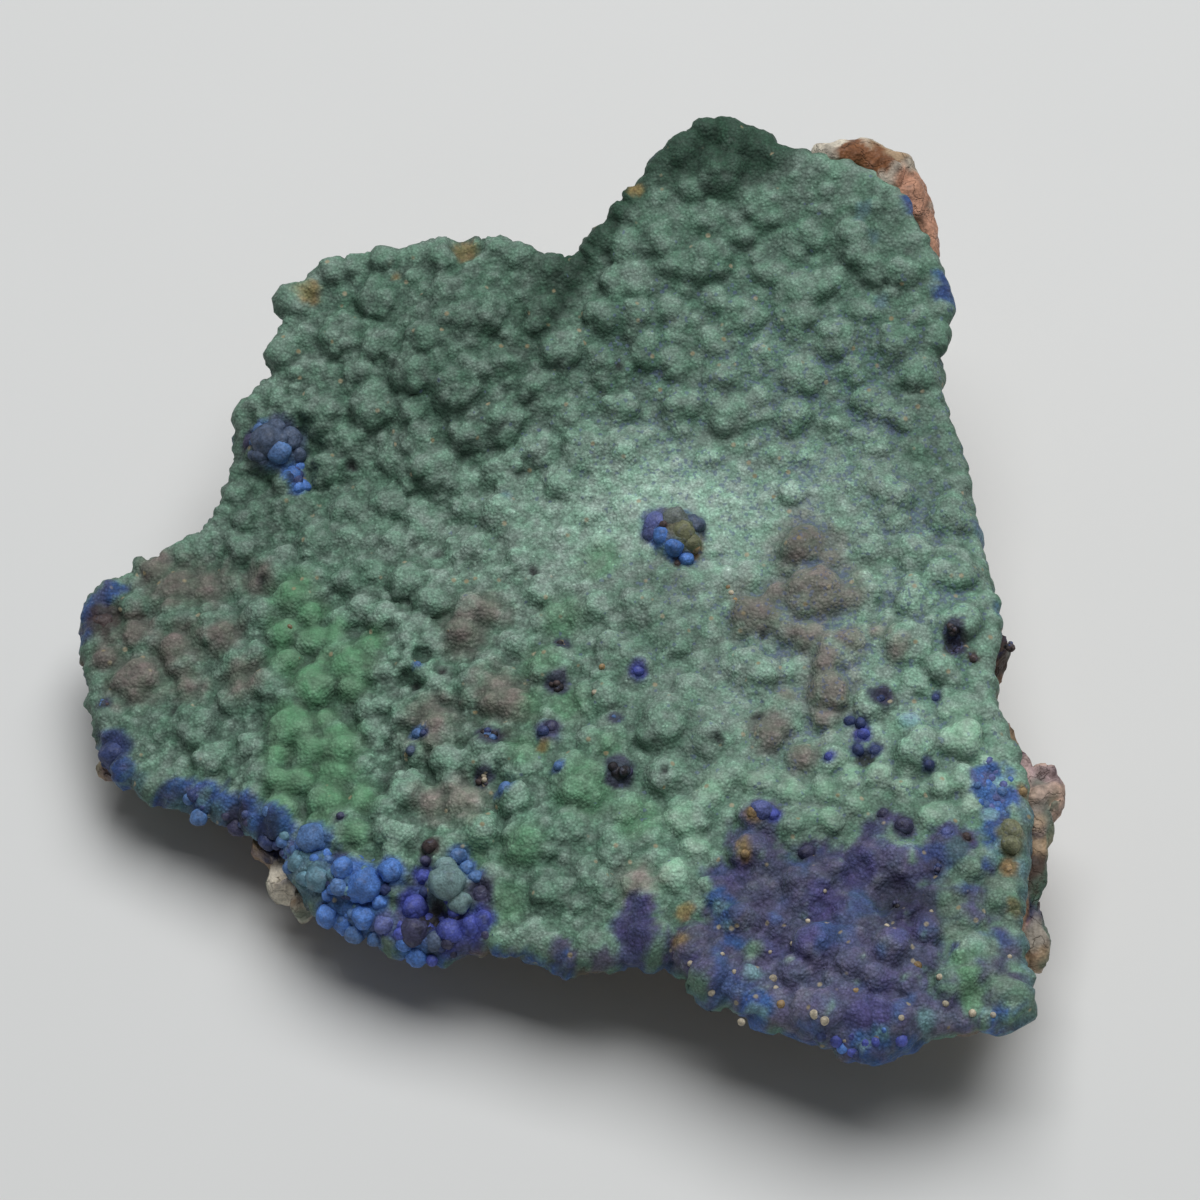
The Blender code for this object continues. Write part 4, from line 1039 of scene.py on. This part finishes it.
# Single balls: x, y, radius in millimetres, how far each stands out as a share of it, and its tint.
BEADS = (
    (-22.2, -19.2, 1.15, 0.7, "blue"), (-22.8, -19.3, 0.7, 1.1, "azure"),
    (-23.3, -20.7, 0.8, 0.8, "turquoise"), (-21.7, -22.3, 1.05, 0.8, "turquoise"),
    (-22.8, -22.1, 0.6, 0.7, "turquoise"), (-19.7, -22.3, 0.95, 0.8, "azure"),
    (-18.1, -23.4, 1.4, 0.8, "azure"), (-16, -22.6, 0.95, 0.8, "azure"), (-21, -24.6, 0.95, 0.55, "azure"),
    (-19.6, -24.9, 1.05, 0.6, "azure"), (-18.1, -25.3, 0.95, 0.6, "azure"), (-18.9, -26, 0.8, 0.3, "blue"),
    (-17.2, -26.4, 0.7, 0.3, "blue"), (-16.5, -26, 0.85, 0.6, "lilac"), (-14.2, -24.8, 1.05, 0.6, "violet"),
    (-14.2, -26.8, 1.1, 0.6, "dusk"), (-14, -27.8, 0.9, 0.4, "azure"), (-15, -27.3, 0.7, 0.4, "azure"),
    (-12.6, -27.5, 0.75, 0.5, "slate"), (-13.5, -22.5, 0.65, 0.6, "violet"),
    (-13.4, -21.4, 0.45, 0.6, "dusk"), (-13, -20.4, 0.65, 0.7, "umber"), (-10.9, -21.2, 0.7, 0.8, "blue"),
    (-9.5, -23.1, 0.6, 0.8, "blue"), (-10.2, -22.1, 0.6, 0.9, "blue"), (-11.8, -22.6, 0.95, 1.1, "sea"),
    (-11.6, -24, 1.4, 1.1, "sea"), (-10.7, -25.2, 0.95, 0.8, "sea"), (-12.8, -25.8, 0.9, 0.25, "black"),
    (-12, -26.3, 0.8, 0.25, "black"), (-9, -24.1, 0.9, 0.4, "dusk"), (-11.4, -26.9, 1.1, 0.5, "violet"),
    (-9.9, -26.6, 1, 0.5, "violet"), (-8.9, -26.4, 0.8, 0.5, "violet"), (-20, -23.6, 0.7, 0.7, "blue"),
    (-16.9, -24.6, 0.6, 0.6, "azure"), (-24.6, -18.3, 0.6, 0.6, "blue"), (-15.2, -26.9, 0.6, 0.6, "violet"),
    (-26.8, 15.2, 1.4, 0.6, "slate"), (-25.1, 15.5, 1.1, 0.65, "slate"), (-25.8, 14.2, 1, 0.55, "blue"),
    (-28.1, 15.8, 0.8, 0.5, "dusk"), (-24.8, 13, 0.7, 0.4, "azure"), (-24.3, 11.9, 0.55, 0.4, "azure"),
    (-26.1, 16.3, 0.8, 0.7, "slate"), (-24.4, 14.6, 0.7, 0.6, "slate"), (-27.3, 14.2, 0.7, 0.5, "slate"),
    (-24.4, 12.5, 0.5, 0.5, "navy"), (-27.4, 16.4, 0.6, 0.6, "blue"), (-25.6, 15, 0.6, 1.3, "slate"),
    (4.6, 6.1, 1.15, 0.28, "lilac"), (4.2, 5.3, 0.75, 0.3, "lilac"), (7.4, 6, 0.9, 0.2, "slate"),
    (4.9, 4.8, 0.75, 0.34, "azure"), (5.9, 3.9, 0.8, 0.34, "azure"), (6.8, 3.3, 0.6, 0.34, "azure"),
    (5.9, 6.2, 1.05, 0.5, "ash"), (6.5, 4.9, 1, 0.5, "olive"), (7.2, 4.3, 0.8, 0.45, "olive"),
    (7.5, 3.9, 0.45, 0.8, "ochre"), (5, 5.4, 0.35, 0.8, "umber"), (6.1, 2.9, 0.3, 0.6, "umber"),
    (-4.4, -11.6, 0.5, 0.7, "navy"), (-3.7, -11.1, 0.6, 0.6, "dusk"), (3, -6.8, 0.5, 0.5, "violet"),
    (-7.3, -16.1, 0.6, 0.7, "blue"), (-14.2, -10.6, 0.5, 0.6, "blue"), (-13.7, -10.9, 0.35, 0.6, "navy"),
    (-14.7, -12.1, 0.4, 0.5, "slate"), (-14.3, -5, 0.35, 0.6, "blue"), (-3.2, -15, 0.4, 0.6, "blue"),
    (19.3, -11.5, 0.45, 0.7, "navy"), (20.1, -11.8, 0.45, 0.7, "navy"), (20.3, -12.7, 0.55, 0.6, "violet"),
    (19.8, -14, 0.55, 0.45, "navy"), (21.2, -14, 0.5, 0.45, "navy"), (17.6, -15, 0.4, 0.45, "violet"),
    (25.2, -15.8, 0.45, 0.45, "navy"), (26, -9.6, 0.35, 0.6, "navy"), (29, -6.4, 0.4, 0.6, "umber"),
    (15.7, -22.5, 0.65, 0.7, "dusk"), (23.2, -20.6, 0.75, 0.7, "dusk"), (21.6, -19.5, 0.5, 0.6, "dusk"),
    (12.3, -19.4, 0.8, 0.6, "lilac"), (11.7, -19.7, 0.5, 0.8, "ochre"), (13.2, -19.6, 0.6, 0.6, "violet"),
    (11, -23, 0.35, 0.8, "ochre"), (26.4, -21.4, 0.5, 0.7, "lilac"), (27.9, -21.6, 0.4, 0.7, "umber"),
    (31.3, -21, 0.95, 0.4, "olive"), (31.2, -22.1, 0.75, 0.4, "olive"), (31, -23.8, 0.6, 0.4, "ochre"),
    (31.4, -27.3, 0.5, 0.35, "olive"), (32.4, -17.2, 0.4, 0.5, "ochre"), (-39.7, 1.9, 1.3, 0.22, "umber"),
    (-38.4, -9.4, 1.2, 0.25, "navy"), (-20, -17.8, 0.35, 0.6, "dusk"), (-28.3, -16.2, 0.8, 0.25, "dusk"),
    (-25.8, -17.6, 0.8, 0.25, "navy"), (-31.4, -15.4, 0.7, 0.25, "blue"),
)
# Grapes of tiny crystals: x, y and radius in millimetres, and the tints of their crystals.
GRAPES = (
    (1.4, -15.1, 1.05, ("black", "dusk", "black", "slate", "black", "cream")),
    (-3.3, -7.1, 0.8, ("umber", "umber", "black")), (-2.9, -3.4, 0.6, ("black", "umber", "ochre")),
    (-8.7, -11.5, 0.85, ("blue", "navy", "black", "umber")), (-9, -14.8, 0.65, ("umber", "black", "cream")),
    (1.2, -10.6, 0.5, ("navy", "ochre", "blue")), (27.5, -4.5, 0.65, ("black", "umber", "black")),
    (27.8, -5.8, 0.55, ("black", "black", "dusk")), (21.7, -9.7, 0.85, ("violet", "navy", "navy", "black")),
    (-39.2, -5.5, 0.5, ("dusk", "blue", "umber")), (22.5, -27, 0.5, ("black", "dusk")),
    (32.1, -4.5, 0.5, ("umber", "black", "navy")), (25.4, -24.2, 0.6, ("navy", "dusk")),
)
# Stuck grains of sand: x, y and radius in millimetres.
SAND = (
    (8.3, -33.2, 0.38), (10.6, -35.6, 0.3), (13, -32.6, 0.36), (13.2, -33.4, 0.3), (13.5, -34.8, 0.4),
    (16, -36.2, 0.42), (16.7, -36.8, 0.35), (19.1, -34.1, 0.34), (23.8, -32.3, 0.32), (25.4, -33.4, 0.3),
    (25.8, -35, 0.3), (27.8, -35.8, 0.3), (29.3, -36, 0.25), (15.7, -28.1, 0.24), (14.5, -30.1, 0.24),
    (21.6, -29, 0.24), (25, -27.7, 0.2), (30.8, -31.1, 0.22), (12.8, -30.6, 0.18), (10.1, -32.1, 0.22),
    (6.8, -31.2, 0.25), (18.3, -37.5, 0.24), (17, -26, 0.18), (9.2, -30.8, 0.2), (22.4, -36.8, 0.24),
    (10.1, 0.7, 0.22), (10.3, 0.2, 0.24), (10.6, -0.3, 0.22), (10.8, -0.8, 0.2), (0.2, -6.2, 0.28),
    (-0.4, -8.6, 0.26), (-24.6, -0.6, 0.26),
)
# Beds of tiny beads between the others: x, y, half width and half depth in millimetres, number, tints.
BEDS = (
    (-20.2, -23.2, 3.4, 2.8, 60, ("azure", "blue", "azure", "turquoise", "navy")),
    (-12.4, -26.2, 3.2, 2.2, 50, ("violet", "dusk", "violet", "navy")),
    (-24.4, -19.6, 1.6, 1.4, 14, ("turquoise", "navy", "blue")),
    (-26.2, 14.8, 2, 1.6, 22, ("slate", "blue", "navy")), (-24.4, 12.4, 0.6, 1.4, 10, ("azure", "navy")),
    (30.2, -17.7, 1.4, 2.2, 34, ("azure", "lilac", "blue")),
    (18.5, -37.8, 3.6, 1.2, 22, ("azure", "navy", "violet")),
    (-31.4, -14.8, 2.6, 1, 22, ("azure", "navy", "blue")),
    (-27.6, -16.7, 2.4, 1, 20, ("navy", "dusk", "blue")),
)
CRYSTALS_PER_GRAPE = 9
GRAPE_CORE = 0.72
GRAPE_STAND = 0.35
CRYSTAL_SIZES = (0.28, 0.46)
BED_BEADS = (0.25, 0.55)
BED_STAND = 0.3
SAND_STAND = 0.5
CREAM_SHARE = 0.85
STAIN_REACH = 1.45
STAIN_SHADE = 0.85

upper = np.flatnonzero(ring <= 4)
upper_tree = kdtree.KDTree(len(upper))
for index in upper:
    upper_tree.insert((places[index, 0], places[index, 1], 0.0), index)
upper_tree.balance()
bead_form = bmesh.new()
draw = random.Random(SEED + 5)
bead_tints, bead_sizes, stains = [], [], []


def add_ball(middle, radius, tint):
    """A small ball of one tint, turned at random. The larger ones have more faces."""
    turned = Euler([draw.uniform(0, 6) for axis in range(3)]).to_matrix().to_4x4()
    made = bmesh.ops.create_icosphere(
        bead_form, subdivisions=3 if radius > 0.5 * MM else 2, radius=radius,
        matrix=Matrix.Translation(middle) @ turned,
    )
    bead_tints.extend([BEAD_TINTS[tint]] * len(made["verts"]))
    bead_sizes.extend([radius] * len(made["verts"]))


def seated(x, y, radius, stand_share):
    """Middle of a ball that stands out of the crust by a share of its radius."""
    index = upper_tree.find((x * MM, y * MM, 0.0))[1]
    return Vector((x * MM, y * MM, places[index, 2] - (1 - stand_share) * radius * MM))


for x, y, radius, stand_share, tint in BEADS:
    add_ball(seated(x, y, radius, stand_share), radius * MM, tint)
    stains.append((x, y, radius, BEAD_TINTS[tint]))
for x, y, radius, tints in GRAPES:
    middle = seated(x, y, radius, GRAPE_STAND)
    add_ball(middle, GRAPE_CORE * radius * MM, tints[0])
    for crystal in range(CRYSTALS_PER_GRAPE):
        facing = Vector((draw.gauss(0, 1), draw.gauss(0, 1), abs(draw.gauss(0, 1)))).normalized()
        size = radius * MM * draw.uniform(*CRYSTAL_SIZES)
        add_ball(middle + facing * radius * MM * GRAPE_CORE, size, tints[crystal % len(tints)])
    stains.append((x, y, radius, BEAD_TINTS["dusk"]))
for middle_x, middle_y, half_width, half_depth, number, tints in BEDS:
    for bead in range(number):
        x, y = draw.gauss(middle_x, half_width / 2), draw.gauss(middle_y, half_depth / 2)
        if edge_nearest(np.array([[x * MM, y * MM]]))[1][0] > 0:
            add_ball(seated(x, y, 0.5, BED_STAND), draw.uniform(*BED_BEADS) * MM, draw.choice(tints))
for x, y, radius in SAND:
    tint = "cream" if draw.random() < CREAM_SHARE else "ochre"
    add_ball(seated(x, y, radius, SAND_STAND), radius * MM, tint)
bead_mesh = made_mesh(bead_form, "azurite_beads")
bead_places, outward = point_rows(bead_mesh, "co"), point_rows(bead_mesh, "normal")
shade = 1 + 0.5 * grain(bead_places, 0.7 * MM, 71.0) + 0.4 * grain(bead_places, 0.3 * MM, 73.0)
set_paint(bead_mesh, "bead_paint", np.array(bead_tints) * shade[:, None])
uneven = 0.22 * grain(bead_places, 0.9 * MM, 79.0) + 0.11 * grain(bead_places, 0.35 * MM, 81.0)
set_places(bead_mesh, bead_places + outward * (uneven * np.array(bead_sizes))[:, None])

# The crust round each ball takes on some of its colour.
for x, y, radius, tint in stains:
    apart = apart_from(places, x, y) / (radius * STAIN_REACH)
    near = np.flatnonzero((apart < 1.3) & (ring <= 12))
    share = 0.9 * (1 - step_up(apart[near] + 0.3 * grain(places[near], 0.8 * MM, 91.0), 0.6, 1.05))
    paint[near] = washed(paint[near], np.array(tint) * STAIN_SHADE, share)
set_paint(crust_mesh, "mineral_paint", paint)

FROST = (0.22, 0.27, 0.42)
bead_finish, tree, shader, place = new_finish("azurite_bead_finish")
colour = attribute_node(tree, "bead_paint", "Color")
colour = shaded(tree, colour, blotches(tree, place, 0.18 * MM, 2.0, 0.75, 1.3))
frost_share = ranged(tree, noise_node(tree, place, 0.5 * MM, 3.0), 0.55, 0.75, 0.0, 0.30)
colour = mixed(tree, frost_share, colour, FROST)
gloss = blotches(tree, place, 0.4 * MM, 2.0, 0.45, 0.8)
relief = bump_node(tree, noise_node(tree, place, 0.25 * MM, 3.0), 0.10 * MM)
complete(tree, shader, colour, gloss, relief, 0.45)

beads = put_in("azurite_beads", bead_mesh, bead_finish)
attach(beads, "root")
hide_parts("malachite_crust")


# Studio. A plain pale floor, one large soft light overhead and a little behind, a faint even fill,
# and a long lens that looks down at the front of the specimen.

FLOOR_WIDTH = 3.0
FLOOR_TINT = (0.795, 0.805, 0.80)
floor_form = bmesh.new()
bmesh.ops.create_grid(floor_form, x_segments=4, y_segments=4, size=FLOOR_WIDTH / 2)
floor_finish, tree, shader, place = new_finish("pale_floor_finish")
paper = shaded(tree, FLOOR_TINT, blotches(tree, place, 0.05, 2.0, 0.985, 1.0))
tree.links.new(paper, shader.inputs["Base Color"])
shader.inputs["Roughness"].default_value = 0.9
shader.inputs["Specular IOR Level"].default_value = 0.1
floor = put_in("floor", made_mesh(floor_form, "floor"), floor_finish)

LIGHT_WATTS = 7.5
LIGHT_SIZE = 0.75
LIGHT_PLACE = Vector((0.09, 0.27, 0.85))
FILL_TINT = (0.97, 0.985, 1.0, 1.0)
FILL_STRENGTH = 0.10
lamp = bpy.data.lights.new("overhead_softbox", "AREA")
lamp.shape = "SQUARE"
lamp.size = LIGHT_SIZE
lamp.energy = LIGHT_WATTS
softbox = bpy.data.objects.new("overhead_softbox", lamp)
softbox.location = LIGHT_PLACE
softbox.rotation_euler = (-LIGHT_PLACE).to_track_quat("-Z", "Y").to_euler()
bpy.context.scene.collection.objects.link(softbox)
world = bpy.data.worlds.new("even_fill")
world.use_nodes = True
fill = world.node_tree.nodes["Background"]
fill.inputs["Color"].default_value = FILL_TINT
fill.inputs["Strength"].default_value = FILL_STRENGTH
bpy.context.scene.world = world
bpy.context.scene.view_settings.view_transform = "Standard"

CAMERA_TARGET = Vector((0.0, 0.0, 0.015))
CAMERA_RISE = math.radians(55)
CAMERA_DISTANCE = 0.350
LENS = 133.33
SENSOR_WIDTH = 36.0
view = bpy.data.cameras.new("camera")
view.lens = LENS
view.sensor_width = SENSOR_WIDTH
camera = bpy.data.objects.new("camera", view)
toward_camera = Vector((0, -math.cos(CAMERA_RISE), math.sin(CAMERA_RISE)))
camera.location = CAMERA_TARGET + CAMERA_DISTANCE * toward_camera
camera.rotation_euler = (math.pi / 2 - CAMERA_RISE, 0, 0)
bpy.context.scene.collection.objects.link(camera)
bpy.context.scene.camera = camera
